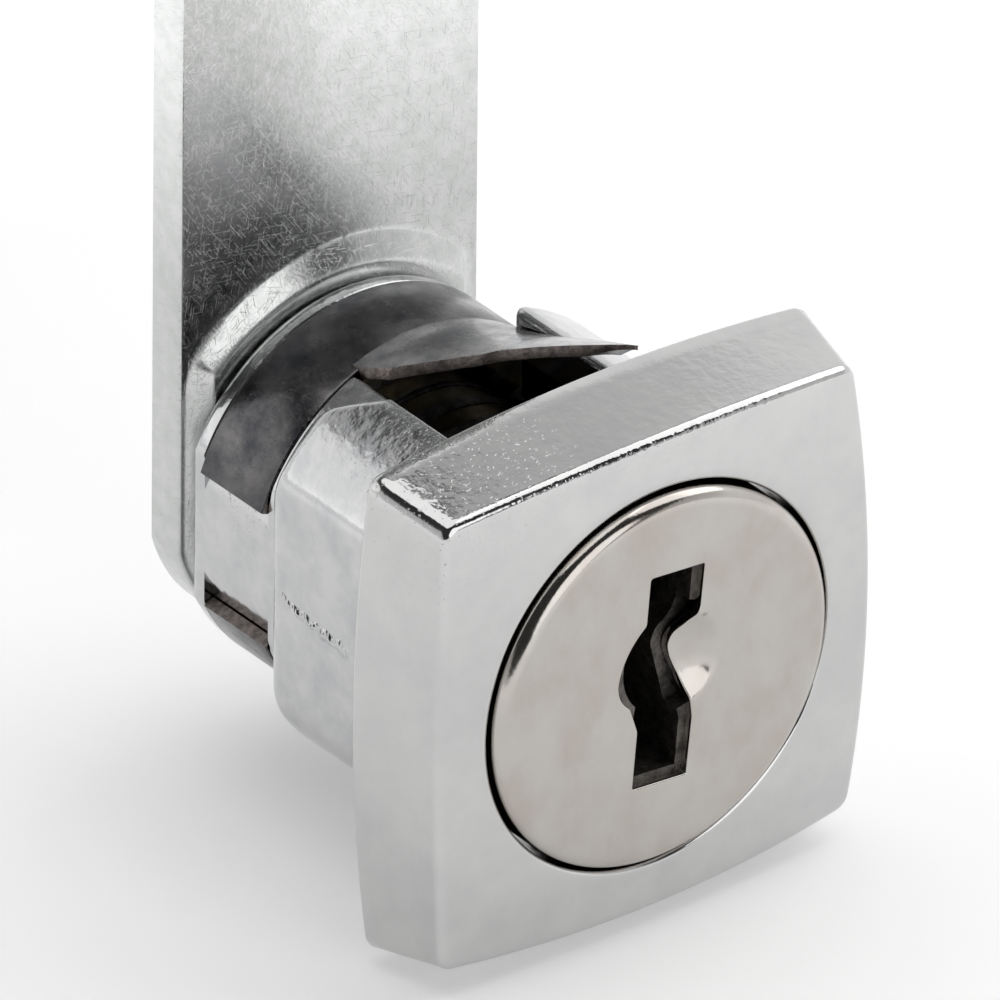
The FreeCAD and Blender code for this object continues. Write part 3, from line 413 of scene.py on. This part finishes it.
def metal(name, dark, light, patch, rough, grain, bump, stretch=(1, 1, 1), scratched=()):
    """A metal finish: two shades in soft patches, a roughness that wanders between two values, and a relief.
    patch and grain are the sizes of the patches and of the relief in millimetres, and bump is the relief's
    height in millimetres. scratched lists angle, width, length and rarity of sets of scratches, whose depth
    is an eighth of their width."""
    material = bpy.data.materials.new(name)
    material.use_nodes = True
    tree = material.node_tree
    shader = tree.nodes["Principled BSDF"]
    shader.inputs["Metallic"].default_value = 1
    where = tree.nodes.new("ShaderNodeTexCoord").outputs["Object"]
    turn = tree.nodes.new("ShaderNodeMapping")
    turn.inputs["Scale"].default_value = stretch
    tree.links.new(where, turn.inputs["Vector"])
    drawn = turn.outputs["Vector"]

    shades = tree.nodes.new("ShaderNodeValToRGB")
    for stop, shade, noise_value in zip(shades.color_ramp.elements, (dark, light), (0.32, 0.62)):
        stop.color = (*shade, 1)
        stop.position = noise_value
    tree.links.new(speckle(tree, drawn, patch, 6, 0.62), shades.inputs["Fac"])
    tree.links.new(shades.outputs["Color"], shader.inputs["Base Color"])
    wander = steps(tree, speckle(tree, drawn, patch * 0.6, 4, 0.6), 0.3, 0.7, *rough)
    tree.links.new(wander, shader.inputs["Roughness"])
    height = combine(tree, "MULTIPLY", speckle(tree, drawn, grain), bump)
    for angle, thin, long, rarity in scratched:
        line = scratches(tree, where, angle, thin, long, rarity)
        depth = combine(tree, "MULTIPLY", line, thin * 0.12)
        height = combine(tree, "SUBTRACT", height, depth)
    relief = tree.nodes.new("ShaderNodeBump")
    relief.inputs["Distance"].default_value = 0.001
    tree.links.new(height, relief.inputs["Height"])
    tree.links.new(relief.outputs["Normal"], shader.inputs["Normal"])
    return material


def near(material, centre, reach_mm):
    """1 at a place, and 0 beyond a distance from it."""
    tree = material.node_tree
    distance = tree.nodes.new("ShaderNodeVectorMath")
    distance.operation = "DISTANCE"
    distance.inputs[1].default_value = [value / 1000 for value in centre]
    tree.links.new(tree.nodes["Texture Coordinate"].outputs["Object"], distance.inputs[0])
    return steps(tree, distance.outputs["Value"], reach_mm / 2500, reach_mm / 1000, 1, 0)


def beyond(material, axis, none_mm, full_mm):
    """0 up to one place along an axis and 1 past another, which may lie on either side of it."""
    tree = material.node_tree
    split = tree.nodes.new("ShaderNodeSeparateXYZ")
    tree.links.new(tree.nodes["Texture Coordinate"].outputs["Object"], split.inputs[0])
    return steps(tree, split.outputs[axis], none_mm / 1000, full_mm / 1000)


def roughen(material, share, size_mm, low, high, height_mm):
    """Adds relief to a finish where share is 1: noise of a size, raised from one of its values to another,
    so that a low value near its mean gives an orange peel and a high one gives scattered specks."""
    tree = material.node_tree
    relief = tree.nodes["Bump"]
    where = tree.nodes["Texture Coordinate"].outputs["Object"]
    speck = steps(tree, speckle(tree, where, size_mm, 2), low, high, 0, height_mm)
    before = relief.inputs["Height"].links[0].from_socket
    added = combine(tree, "MULTIPLY", speck, share)
    tree.links.new(combine(tree, "ADD", before, added), relief.inputs["Height"])


def fit(made, body, node, slot, *materials):
    """Gives a new piece its materials, and lets it stand for a CAD node and ride on that node's body."""
    for material in materials:
        made.data.materials.append(material)
    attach(made, body)
    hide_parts(node)


polished_chrome = metal(
    "polished_chrome",
    (0.53, 0.53, 0.53),
    (0.58, 0.58, 0.575),
    3,
    (0.06, 0.13),
    0.5,
    0.006,
)
roughen(polished_chrome, near(polished_chrome, (-9.5, -2.5, 10.5), 8), 0.16, 0.64, 0.74, 0.010)
on_top = beyond(polished_chrome, "Z", 9.3, 10)
at_front = beyond(polished_chrome, "Y", -4.3, -4.7)
roughen(polished_chrome, on_top, 0.45, 0.35, 0.65, 0.004)
top_front = combine(polished_chrome.node_tree, "MULTIPLY", on_top, at_front)
roughen(polished_chrome, top_front, 0.3, 0.4, 0.6, 0.014)
cast_chrome = metal("cast_chrome", (0.48, 0.485, 0.495), (0.58, 0.58, 0.58), 1.6, (0.1, 0.18), 0.45, 0.014)
roughen(cast_chrome, near(cast_chrome, (-5, 2, 8.5), 5), 0.14, 0.63, 0.72, 0.012)
roughen(cast_chrome, near(cast_chrome, (-7.2, 11.5, 2.0), 2.5), 0.2, 0.6, 0.7, 0.02)
roughen(cast_chrome, beyond(cast_chrome, "Z", 2, 6), 0.6, 0.35, 0.65, 0.006)
fit(bezel, "housing", "housing", "chromed_zinc", polished_chrome)
fit(casting_rear, "housing", "housing", "chromed_zinc", cast_chrome)


# Spring clip. A strip of blued spring steel, stamped, bent to a C and hardened. It snaps into the body's
# groove, and its two wings flare out towards the front to hold the lock behind the panel.
clip_outer = 8.0
clip_inner = 7.5
clip_front = 10.1
clip_back = 13.95
clip_ends = (-69.9, 245.6)
clip_edge = 0.08
band_count = 161


def rounded_block(low, high, front, back, edge):
    """A rectangle with rounded corners as a loop of points (first, second)."""
    corners = [(high - edge, back - edge, 0), (low + edge, back - edge, 90)]
    corners += [(low + edge, front + edge, 180), (high - edge, front + edge, 270)]
    arcs = []
    for first, second, start in corners:
        turn = np.radians(np.linspace(start, start + 90, 4))
        arcs.append(np.stack([first + edge * np.cos(turn), second + edge * np.sin(turn)], axis=1))
    return np.concatenate(arcs)


def shut(loops):
    """Closes the two ends of a run of loops with a point in the middle of each."""
    first = np.broadcast_to(loops[0].mean(axis=0), loops[0].shape)
    last = np.broadcast_to(loops[-1].mean(axis=0), loops[-1].shape)
    return np.concatenate([first[None], loops, last[None]])


section = rounded_block(clip_inner, clip_outer, clip_front, clip_back, clip_edge)
turn = np.radians(np.linspace(*clip_ends, band_count))[:, None]
radius = section[None, :, 0]
along = np.broadcast_to(section[None, :, 1], (band_count, len(section)))
band_places = np.stack([radius * np.sin(turn), along, radius * np.cos(turn)], axis=2)
band = skin("band", shut(band_places), joined_second=True)


wing_tip = 1.0
rise_places = [1.0, 2.25, 3.73, 5.31, 6.88, 8.08, 9.4, 10.1, 10.5]
rises = [3.39, 2.93, 2.35, 1.67, 1.08, 0.74, 0.42, 0.12, 0.0]
edge_places = [1.0, 1.03, 1.42, 1.99, 2.67, 3.38, 4.12, 4.9, 5.42, 6.5, 7.86, 8.54, 9.6, 10.1]
edge_lefts = [3.1, 2.58, 1.92, 1.41, 0.98, 0.57, 0.19, -0.16, -0.67, -1.31, -2.17, -2.6, -2.85, -2.85]
wing_right = 3.2
wing_root = 10.5
rise_passes = 40
tip_round = 0.35
tip_taper = 1.2
tip_thickness = 0.35
cut_bulge = 0.04


def make_wing(name, hand):
    """A curved blade: its section is the band's own arc, moved outwards by a rise that grows towards the
    tip, where the sheet gets thinner. The right edge is straight, the left edge runs slantwise from the band
    to the tip, and both cut edges bulge a little."""
    place = np.concatenate([np.linspace(wing_root, 5.6, 50), np.linspace(5.5, wing_tip, 60)])
    in_round = np.clip(wing_tip + tip_round - place, 0, None)
    left = np.interp(place, edge_places, edge_lefts) + in_round**2 / tip_round
    rise = np.interp(place, rise_places, rises)
    left[1:-1] = (left[:-2] + left[1:-1] + left[2:]) / 3
    for _ in range(rise_passes):
        rise[1:-1] = (rise[:-2] + 2 * rise[1:-1] + rise[2:]) / 4
    across = np.linspace(0, 1, 25)
    x = left[:, None] * (1 - across) + wing_right * across
    upper = np.sqrt(clip_outer**2 - x**2) + rise[:, None]
    thinned = np.clip(tip_thickness + (place - wing_tip) / tip_taper, 0, 1)[:, None]
    lower = upper + (np.sqrt(clip_inner**2 - x**2) - np.sqrt(clip_outer**2 - x**2)) * thinned
    x_loop = np.concatenate([x, x[:, -1:] + cut_bulge, x[:, ::-1], x[:, :1] - cut_bulge], axis=1)
    middle_right = (upper[:, -1:] + lower[:, -1:]) / 2
    middle_left = (upper[:, :1] + lower[:, :1]) / 2
    z_loop = np.concatenate([upper, middle_right, lower[:, ::-1], middle_left], axis=1)
    y_loop = np.broadcast_to(place[:, None], x_loop.shape)
    places = np.stack([x_loop * hand, y_loop, z_loop * hand], axis=2)
    return skin(name, shut(places), joined_second=True, sharp=35)


clip = join("spring_clip_strip", [band, make_wing("upper_wing", 1), make_wing("lower_wing", -1)])
blued_steel = metal(
    "blued_steel",
    (0.05, 0.052, 0.06),
    (0.15, 0.145, 0.145),
    1.6,
    (0.16, 0.3),
    0.3,
    0.006,
    scratched=[(20, 0.03, 0.5, 0.66), (-50, 0.03, 0.7, 0.67), (75, 0.04, 0.9, 0.67)],
)
sheared_edge = metal("sheared_edge", (0.10, 0.088, 0.083), (0.27, 0.235, 0.22), 0.3, (0.3, 0.5), 0.1, 0.03)


def put_on_cut_faces(made):
    """The second material goes on the faces where the strip was cut through: those that don't face
    towards or away from the body's axis."""
    mesh = made.data
    count = len(mesh.polygons)
    normal = np.empty(count * 3)
    centre = np.empty(count * 3)
    mesh.polygons.foreach_get("normal", normal)
    mesh.polygons.foreach_get("center", centre)
    outward = centre.reshape(-1, 3) * (1, 0, 1)
    outward /= np.linalg.norm(outward, axis=1, keepdims=True)
    facing = np.abs((normal.reshape(-1, 3) * outward).sum(axis=1))
    mesh.polygons.foreach_set("material_index", (facing < 0.6).astype(int))


def paint_light_along(material, axis, none_mm, full_mm, paler):
    """Paints light along an axis: a finish's colour is multiplied by a factor that grows from 1 at one place
    to paler at another, as a painted highlight."""
    tree = material.node_tree
    shader = tree.nodes["Principled BSDF"]
    factor = combine(tree, "MULTIPLY", beyond(material, axis, none_mm, full_mm), paler - 1)
    shade = tree.nodes.new("ShaderNodeVectorMath")
    shade.operation = "SCALE"
    tree.links.new(shader.inputs["Base Color"].links[0].from_socket, shade.inputs[0])
    tree.links.new(combine(tree, "ADD", factor, 1), shade.inputs["Scale"])
    tree.links.new(shade.outputs[0], shader.inputs["Base Color"])


# Painted sheen: the clip is painted up to 2.8 times paler from the wings' roots towards their tips, for the
# light that the flared wings catch
paint_light_along(blued_steel, "Y", 10.5, 6.0, 2.8)
fit(clip, "housing", "spring_clip", "spring_steel", blued_steel, sheared_edge)
put_on_cut_faces(clip)


# Face cap. Stainless sheet, drawn over the plug's head. The aperture for the key bows to the left,
# and a shallow dimple is pressed round it. The whole plug group stands 5.1 degrees clockwise.
lean = math.radians(5.1)
cap_front = -5.2
cap_radius = 8.02
cap_rim = 0.6
cap_sheet = 0.4
cap_end = -2.6
dimple_radius = 2.0
dimple_depth = 0.75
dimple_middle = (0.6, 0.7)
dimple_lip = 0.05
lip_reach = 1.4


def leaning(places):
    """Turns places by the lean round the plug's axis, clockwise as seen from the front."""
    x, y, z = places[..., 0], places[..., 1], places[..., 2]
    leaning_x = x * math.cos(lean) + z * math.sin(lean)
    leaning_z = z * math.cos(lean) - x * math.sin(lean)
    return np.stack([leaning_x, y, leaning_z], axis=-1)


def bent_outline(corners, count, soft):
    """An outline of straight and curved runs, as count points at equal steps. A corner is (x, z), or
    (x, z, radius, side) where an arc arrives. soft is how many steps a sharp corner is smoothed over."""
    runs = []
    for before, corner in zip(corners[-1:] + corners[:-1], corners):
        start, end = np.array(before[:2]), np.array(corner[:2])
        share = np.linspace(0, 1, 40, endpoint=False)[:, None]
        if len(corner) == 2:
            runs.append(start + (end - start) * share)
            continue
        radius, side_of = corner[2:]
        chord = end - start
        half = np.linalg.norm(chord) / 2
        across = np.array([-chord[1], chord[0]]) / (2 * half)
        centre = (start + end) / 2 + across * side_of * math.sqrt(radius**2 - half**2)
        from_centre = start - centre
        sweep = 2 * math.asin(half / radius) * side_of * share[:, 0]
        x = from_centre[0] * np.cos(sweep) - from_centre[1] * np.sin(sweep)
        z = from_centre[0] * np.sin(sweep) + from_centre[1] * np.cos(sweep)
        runs.append(centre + np.stack([x, z], axis=1))
    return even_loop(np.concatenate(runs), count, soft)


aperture = bent_outline(
    [
        (-1.14, 4.7),
        (-1.14, 2.67),
        (-2.28, 0.4, 3.4, 1),
        (-1.61, -0.77, 1.35, 1),
        (-1.14, -1.9),
        (-1.14, -4.42),
        (1.46, -4.42),
        (1.5, -2.0),
        (1.34, -1.19),
        (1.05, -0.24),
        (0.73, 0.5),
        (0.59, 0.97),
        (0.61, 1.32),
        (0.77, 1.7),
        (1.07, 1.98),
        (1.33, 2.35),
        (1.44, 2.83),
        (1.46, 4.7),
    ],
    480,
    2,
)


def outwards(outline):
    """The unit normals of a closed outline, pointing away from it."""
    along = np.roll(outline, -1, axis=0) - np.roll(outline, 1, axis=0)
    normal = np.stack([along[:, 1], -along[:, 0]], axis=1)
    normal /= np.linalg.norm(normal, axis=1, keepdims=True)
    area = np.sum(outline[:, 0] * np.roll(outline[:, 1], -1) - np.roll(outline[:, 0], -1) * outline[:, 1])
    return normal * np.sign(area)


def dish(points):
    """The cap's front: flat, with a spherical bowl beside the keyway whose lip is a little rounded."""
    distance = np.linalg.norm(points - dimple_middle, axis=1)
    bowl = (dimple_radius**2 + dimple_depth**2) / (2 * dimple_depth)
    depth = dimple_depth - bowl + np.sqrt(np.maximum(bowl**2 - distance**2, 0))
    soft_depth = dimple_lip * np.logaddexp(0, depth / dimple_lip)
    return cap_front + np.where(distance < dimple_radius * lip_reach, soft_depth, 0)


def circle_for(outline, radius, centre, even_share):
    """A circle's points for a ray from each point of an outline: in the direction in which the point is seen
    from a centre, drawn a little towards equal steps, so that the rays spread and never cross."""
    heading = np.unwrap(np.arctan2(outline[:, 1] - centre[1], outline[:, 0] - centre[0]))
    heading = np.maximum.accumulate(heading)
    even = heading[0] + np.linspace(0, 2 * math.pi, len(outline), endpoint=False)
    turn = heading * (1 - even_share) + even * even_share
    return np.stack([radius * np.cos(turn), radius * np.sin(turn)], axis=1)


hole_round = 0.07
ray_centre = (-0.2, 0.4)
flat_radius = cap_radius - cap_rim
away_from_hole = outwards(aperture)
flat_edge = circle_for(aperture, flat_radius, ray_centre, 0.3)
loops = [level_loop(aperture, dish(aperture) + cap_sheet)]
for s, c in rounding(4):
    lip = aperture + away_from_hole * hole_round * (1 - c)
    loops.append(level_loop(lip, dish(lip) + hole_round * (1 - s)))
lip = aperture + away_from_hole * hole_round
for share in np.linspace(0, 1, 37)[1:-1]:
    ring = lip * (1 - share) + flat_edge * share
    loops.append(level_loop(ring, dish(ring)))
for s, c in rounding(9):
    ring = flat_edge * (1 + cap_rim * s / flat_radius)
    loops.append(level_loop(ring, cap_front + cap_rim * (1 - c)))
inner_wall = flat_edge * (cap_radius - cap_sheet) / flat_radius
loops.append(level_loop(flat_edge * cap_radius / flat_radius, cap_end))
loops.append(level_loop(inner_wall, cap_end))
loops.append(level_loop(inner_wall, cap_front + cap_sheet))
cap = skin("cap_pressing", leaning(np.array(loops)), joined_first=True, joined_second=True, sharp=40)
stainless = metal(
    "stainless",
    (0.46, 0.415, 0.385),
    (0.505, 0.49, 0.46),
    2.2,
    (0.11, 0.18),
    0.12,
    0.003,
    stretch=(1, 1, 0.7),
)
fit(cap, "plug", "face_cap", "stainless_cap", stainless)


# Plug, wafers and springs. The plug is a bare zinc casting, seen only inside the keyway. The wafers are
# stamped brass plates in its slots, and each spring is a coil of fine round wire below a wafer's tab.
# The plug's zinc and the wafers' brass are painted far darker than these metals are, as painted shade for the
# dark inside of the keyway
zinc_in_painted_shade = metal("zinc_in_painted_shade", (0.055, 0.05, 0.047), (0.16, 0.15, 0.14), 0.5, (0.4, 0.6), 0.12, 0.04)
brass_in_painted_shade = metal("brass_in_painted_shade", (0.07, 0.055, 0.03), (0.19, 0.145, 0.08), 1.2, (0.3, 0.5), 0.2, 0.01)


def dress(node, *materials):
    """Puts materials on a CAD node that is shown as it is."""
    nodes[node].data.materials.clear()
    for material in materials:
        nodes[node].data.materials.append(material)


dress("plug", zinc_in_painted_shade)
wafer_count = 6
wafer_first = 1.1
wafer_pitch = 1.65
retainer_place = 11.2
spring_x = 3.575
spring_radius = 0.38
wire = 0.1
spring_low = -3.2
spring_high = -0.4
spring_turns = 4
spring_wire = metal("spring_wire", (0.42, 0.42, 0.43), (0.56, 0.56, 0.57), 0.8, (0.18, 0.3), 0.1, 0.002)


def coil(name, place, hand):
    """A round wire wound round an upright line: its centre line climbs evenly from the seat to the wafer's
    tab, and the section circle stands across it."""
    turn = np.linspace(0, 2 * math.pi * spring_turns, 24 * spring_turns + 1)[:, None]
    round_wire = np.linspace(0, 2 * math.pi, 9)[:-1][None, :]
    reach = spring_radius + wire * np.cos(round_wire)
    climb = np.linspace(spring_low + wire, spring_high - wire, len(turn))[:, None]
    x = spring_x + reach * np.cos(turn)
    y = place + reach * np.sin(turn)
    z = climb + wire * np.sin(round_wire) + 0 * turn
    return skin(name, shut(leaning(np.stack([x * hand, y, z * hand], axis=-1))), joined_second=True)


for number in range(wafer_count):
    dress(f"wafer_{number + 1}", brass_in_painted_shade)
    hand = 1 if number % 2 == 0 else -1
    spring = coil(f"wafer_coil_{number + 1}", wafer_first + number * wafer_pitch, hand)
    fit(spring, "plug", f"wafer_spring_{number + 1}", "spring_wire", spring_wire)
dress("retaining_wafer", brass_in_painted_shade)
retaining_coil = coil("retaining_coil", retainer_place, 1)
fit(retaining_coil, "plug", "retaining_spring", "spring_wire", spring_wire)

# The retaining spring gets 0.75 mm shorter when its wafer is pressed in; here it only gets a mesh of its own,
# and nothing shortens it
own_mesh(retaining_coil)


# Cam. A bar blanked from zinc-plated steel, with its hub pressed forwards so that a low round boss stands
# towards the lock. Its square hole fits the plug's square with a little play.
cam_half = 7.2
cam_heel = 7.45
cam_end = 33.0
cam_corner = 1.5
cam_sheet = 1.8
cam_plane = 15.6
boss_height = 0.65
boss_top = 8.45
boss_low = 6.3
boss_half = 6.0
boss_slope = 0.98
arc_change = 3
even_slope = 0.9
hub_line = 10.9
square_half = 3.3
square_corner = 0.4
punched_edge = 0.12

across = np.linspace(-1, 1, 73)
hub_top = np.stack([cam_half * across, np.full_like(across, hub_line)], axis=1)
edge_z = np.linspace(hub_line, -math.sqrt(cam_heel**2 - cam_half**2), 41)[1:-1]
right_edge = np.stack([np.full_like(edge_z, cam_half), edge_z], axis=1)
heel_turn = np.linspace(math.asin(cam_half / cam_heel), -math.asin(cam_half / cam_heel), 81)
heel = np.stack([cam_heel * np.sin(heel_turn), -cam_heel * np.cos(heel_turn)], axis=1)
left_edge = right_edge[::-1] * (-1, 1)
hub_outline = np.concatenate([hub_top, right_edge, heel, left_edge])
at_end = np.arange(len(hub_outline)) < len(hub_top)
over_corner = np.maximum(np.abs(hub_outline[:, 0]) - (cam_half - cam_corner), 0)
end_z = cam_end - cam_corner + np.sqrt(cam_corner**2 - np.minimum(over_corner, cam_corner) ** 2)
cam_outline = np.stack([hub_outline[:, 0], np.where(at_end, end_z, hub_outline[:, 1])], axis=1)


def square_for(outline, half, corner):
    """A square with rounded corners, at the points in the directions of an outline's points: the
    superellipse |x|^n + |z|^n = half^n, whose power n is large where the corner is small."""
    power = 4 * half / corner / 2.7
    size = (np.abs(outline) ** power).sum(axis=1, keepdims=True) ** (1 / power)
    return outline / size * half


def cam_front(points):
    """The front face: the flat of the hub, a flank, then the plate. The share down the flank is how far a
    point lies past the hub's upper arc, its lower arc or its straight sides, in widths of the flank. Near
    the axis the one arc turns into the other, and the flank is straight but for a little rounding."""
    x, z = points[:, 0], points[:, 1]
    arc = np.interp(z, [-arc_change, arc_change], [boss_low, boss_top])
    past_arc = np.maximum(np.hypot(x, z) - arc, 0)
    past_side = np.maximum(np.abs(x) - boss_half, 0)
    share = np.clip((past_arc**3 + past_side**3) ** (1 / 3) / boss_slope, 0, 1)
    smooth = share**2 * (3 - 2 * share)
    return cam_plane - boss_height + boss_height * (even_slope * share + (1 - even_slope) * smooth)


square = square_for(hub_outline, square_half, square_corner)
out_of_hole = outwards(square)
out_of_cam = outwards(cam_outline)
inset = cam_outline - out_of_cam * punched_edge
hub_inset = np.where(at_end[:, None], hub_outline * (1 - punched_edge / cam_half, 1), inset)
hole_lip = square + out_of_hole * punched_edge
face = [hole_lip * (1 - share) + hub_inset * share for share in np.linspace(0, 1, 61)]
face += [hub_inset * (1 - share) + inset * share for share in np.linspace(0, 1, 9)[1:]]
loops = []
for s, c in rounding(4):
    ring = square + out_of_hole * punched_edge * (1 - c)
    loops.append(level_loop(ring, cam_front(ring) + punched_edge * (1 - s)))
loops += [level_loop(ring, cam_front(ring)) for ring in face[1:-1]]
for s, c in rounding(5):
    ring = inset * (1 - s) + cam_outline * s
    loops.append(level_loop(ring, cam_front(ring) + punched_edge * (1 - c)))
for s, c in rounding(5):
    ring = inset * (1 - c) + cam_outline * c
    loops.append(level_loop(ring, cam_front(ring) + cam_sheet - punched_edge * (1 - s)))
loops += [level_loop(ring, cam_front(ring) + cam_sheet) for ring in face[-2:0:-1]]
loops.append(level_loop(square, cam_front(square) + cam_sheet))
cam_bar = skin("cam_bar", np.array(loops), joined_first=True, joined_second=True)
zinc_plate = metal(
    "zinc_plate",
    (0.525, 0.54, 0.53),
    (0.60, 0.605, 0.60),
    0.9,
    (0.17, 0.27),
    0.16,
    0.005,
    scratched=[(8, 0.04, 1.2, 0.66), (55, 0.03, 0.6, 0.66), (-35, 0.03, 0.7, 0.67), (-80, 0.04, 1.0, 0.68)],
)
# Painted highlight: the cam is painted up to 1.45 times paler towards its top, for the light that brightens
# its upper end
paint_light_along(zinc_plate, "Z", 10, 20, 1.45)
fit(cam_bar, "plug", "cam", "plated_steel", zinc_plate)


# Lock washer and cam screw. The washer is a hardened ring with ten twisted inner teeth, and the screw is an
# M4 pan head with a cross recess. They clamp the cam on the plug's square.
washer_outside = 4.6
washer_hole = 2.1
washer_front = 16.9
washer_sheet = 0.6
washer_edge = 0.08
tooth_count = 10
tooth_gap = 0.9
tooth_root = 0.15
tooth_twist = 0.1

# notch is 0 on a tooth and 1 between two teeth, with steep flanks
turn = np.linspace(0, 2 * math.pi, 321)[:-1]
notch = np.clip(np.abs(((turn * tooth_count / (2 * math.pi)) % 1) - 0.5) * 8 - 2.6, 0, 1)
toothed = washer_hole + tooth_gap * notch
twist = tooth_twist * np.sin(turn * tooth_count)


def ring_loop(radius, place):
    """A circle round the axis. Its radius and its place along the axis may differ from point to point."""
    return np.stack([radius * np.sin(turn), place + 0 * turn, radius * np.cos(turn)], axis=1)


washer_back = washer_front + washer_sheet
loops = [
    ring_loop(toothed, washer_front + tooth_twist + twist),
    ring_loop(washer_hole + tooth_gap + tooth_root, washer_front),
    ring_loop(washer_outside - washer_edge, washer_front),
    ring_loop(washer_outside, washer_front + washer_edge),
    ring_loop(washer_outside, washer_back - washer_edge),
    ring_loop(washer_outside - washer_edge, washer_back),
    ring_loop(washer_hole + tooth_gap + tooth_root, washer_back),
    ring_loop(toothed, washer_back - tooth_twist + twist),
]
toothed_washer = skin("toothed_washer", np.array(loops), joined_first=True, joined_second=True)
fit(toothed_washer, "plug", "lock_washer", "plated_fastener", zinc_plate)

head_radius = 3.9
head_seat = washer_back
head_edge = 1.5
head_height = 2.4
shank_radius = 1.95
shank_chamfer = 0.3
shank_tip = 12.5
arm_half = 0.45
arm_reach = 2.1
recess_depth = 1.3


def head_top(radius):
    """The pan head's back: a flat dome that turns into the rim on a quarter ellipse, less a cross recess
    whose four arms narrow downwards."""
    share = np.clip(radius / head_radius, 0, 1)
    crown_place = head_seat + head_edge + (head_height - head_edge) * np.sqrt(1 - share**3.2)
    x = np.abs(radius * np.sin(turn))
    z = np.abs(radius * np.cos(turn))
    near_arm = np.minimum(x, z)
    along_arm = np.maximum(x, z)
    wall = np.minimum((arm_half - near_arm) * 6, (arm_reach - along_arm) * 2)
    return crown_place - np.clip(wall, 0, recess_depth)


loops = [ring_loop(0 * turn, shank_tip)]
loops.append(ring_loop(shank_radius - shank_chamfer, shank_tip))
loops.append(ring_loop(shank_radius, shank_tip + shank_chamfer))
loops.append(ring_loop(shank_radius, head_seat))
loops.append(ring_loop(head_radius, head_seat))
for radius in head_radius * np.sin(np.linspace(math.pi / 2, 0, 70)):
    loops.append(ring_loop(radius, head_top(radius)))
screw = skin("pan_head_screw", np.array(loops), joined_second=True)
fit(screw, "plug", "cam_screw", "plated_fastener", zinc_plate)


# Floor and light. A white table under the bezel's lower edge, which glows a little where it is seen and more
# so away from the object, a room that is white low down and dark above, and four soft lamps.
floor_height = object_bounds()[0][2]
floor_half = 3.0
glow_near = 0.25
glow_far = 0.4
signs = [(-1, -1), (1, -1), (1, 1), (-1, 1)]
corners = [(x * floor_half, y * floor_half, floor_height) for x, y in signs]
floor_mesh = bpy.data.meshes.new("floor")
floor_mesh.from_pydata(corners, [], [(0, 1, 2, 3)])
floor = bpy.data.objects.new("floor", floor_mesh)
bpy.context.scene.collection.objects.link(floor)
paper = bpy.data.materials.new("white_table")
paper.use_nodes = True
tree = paper.node_tree
shader = tree.nodes["Principled BSDF"]
shader.inputs["Base Color"].default_value = (0.86, 0.86, 0.86, 1)
shader.inputs["Roughness"].default_value = 0.9
shader.inputs["Specular IOR Level"].default_value = 0.1
rays = tree.nodes.new("ShaderNodeLightPath")
seen = combine(tree, "MAXIMUM", rays.outputs["Is Camera Ray"], rays.outputs["Is Glossy Ray"])
seen = combine(tree, "MAXIMUM", seen, rays.outputs["Is Transmission Ray"])
from_object = tree.nodes.new("ShaderNodeVectorMath")
from_object.operation = "DISTANCE"
from_object.inputs[1].default_value = (-0.012, 0.012, floor_height)
tree.links.new(tree.nodes.new("ShaderNodeTexCoord").outputs["Object"], from_object.inputs[0])
far = steps(tree, from_object.outputs["Value"], 0.045, 0.075, glow_near, glow_far)
glow = combine(tree, "MULTIPLY", seen, far)
shader.inputs["Emission Color"].default_value = (1, 1, 1, 1)
tree.links.new(glow, shader.inputs["Emission Strength"])
floor_mesh.materials.append(paper)

# The room's tone depends on how high a direction points, counted as higher towards the front left and lower
# towards both sides
world = bpy.data.worlds.new("pale_room")
bpy.context.scene.world = world
world.use_nodes = True
tree = world.node_tree
sky = tree.nodes["Background"]
where = tree.nodes.new("ShaderNodeTexCoord")
split = tree.nodes.new("ShaderNodeSeparateXYZ")
tree.links.new(where.outputs["Generated"], split.inputs[0])
beside = combine(tree, "MULTIPLY", combine(tree, "ABSOLUTE", split.outputs["X"], 0), 0.4)
slant = tree.nodes.new("ShaderNodeVectorMath")
slant.operation = "DOT_PRODUCT"
slant.inputs[1].default_value = (-0.45, -0.6, 1)
tree.links.new(where.outputs["Generated"], slant.inputs[0])
room_height = combine(tree, "ADD", combine(tree, "SUBTRACT", slant.outputs["Value"], beside), 0.3)
room = tree.nodes.new("ShaderNodeValToRGB")
heights = [(0.0, 1.0), (0.1, 0.95), (0.23, 0.74), (0.4, 0.66), (0.57, 0.58), (0.62, 0.07), (0.8, 0.04)]
room.color_ramp.elements[0].position = heights[0][0]
room.color_ramp.elements[1].position = heights[-1][0]
for place, tone in heights[1:-1]:
    room.color_ramp.elements.new(place)
for stop, (place, tone) in zip(room.color_ramp.elements, heights):
    stop.color = (tone, tone, tone, 1)
tree.links.new(room_height, room.inputs["Fac"])
tree.links.new(room.outputs["Color"], sky.inputs["Color"])


def lamp(name, direction, away_m, size_m, watts):
    """A soft round lamp at a distance in a direction, facing the object."""
    made = bpy.data.objects.new(name, bpy.data.lights.new(name, "AREA"))
    made.data.shape = "DISK"
    made.data.size = size_m
    made.data.energy = watts
    direction = Vector(direction).normalized()
    facing = direction.to_track_quat("Z", "Y").to_matrix().to_4x4()
    made.matrix_world = Matrix.Translation(direction * away_m) @ facing
    bpy.context.scene.collection.objects.link(made)


lamp("right_lamp", (0.62, -0.15, 0.77), 1.0, 0.93, 3.4)
lamp("overhead_lamp", (-0.08, 0.15, 0.97), 1.0, 1.05, 3.7)
lamp("rear_left_lamp", (-0.62, 0.65, 0.38), 1.0, 0.6, 0.45)
lamp("front_lamp", (-0.02, -0.94, 0.33), 1.0, 0.85, 2.9)
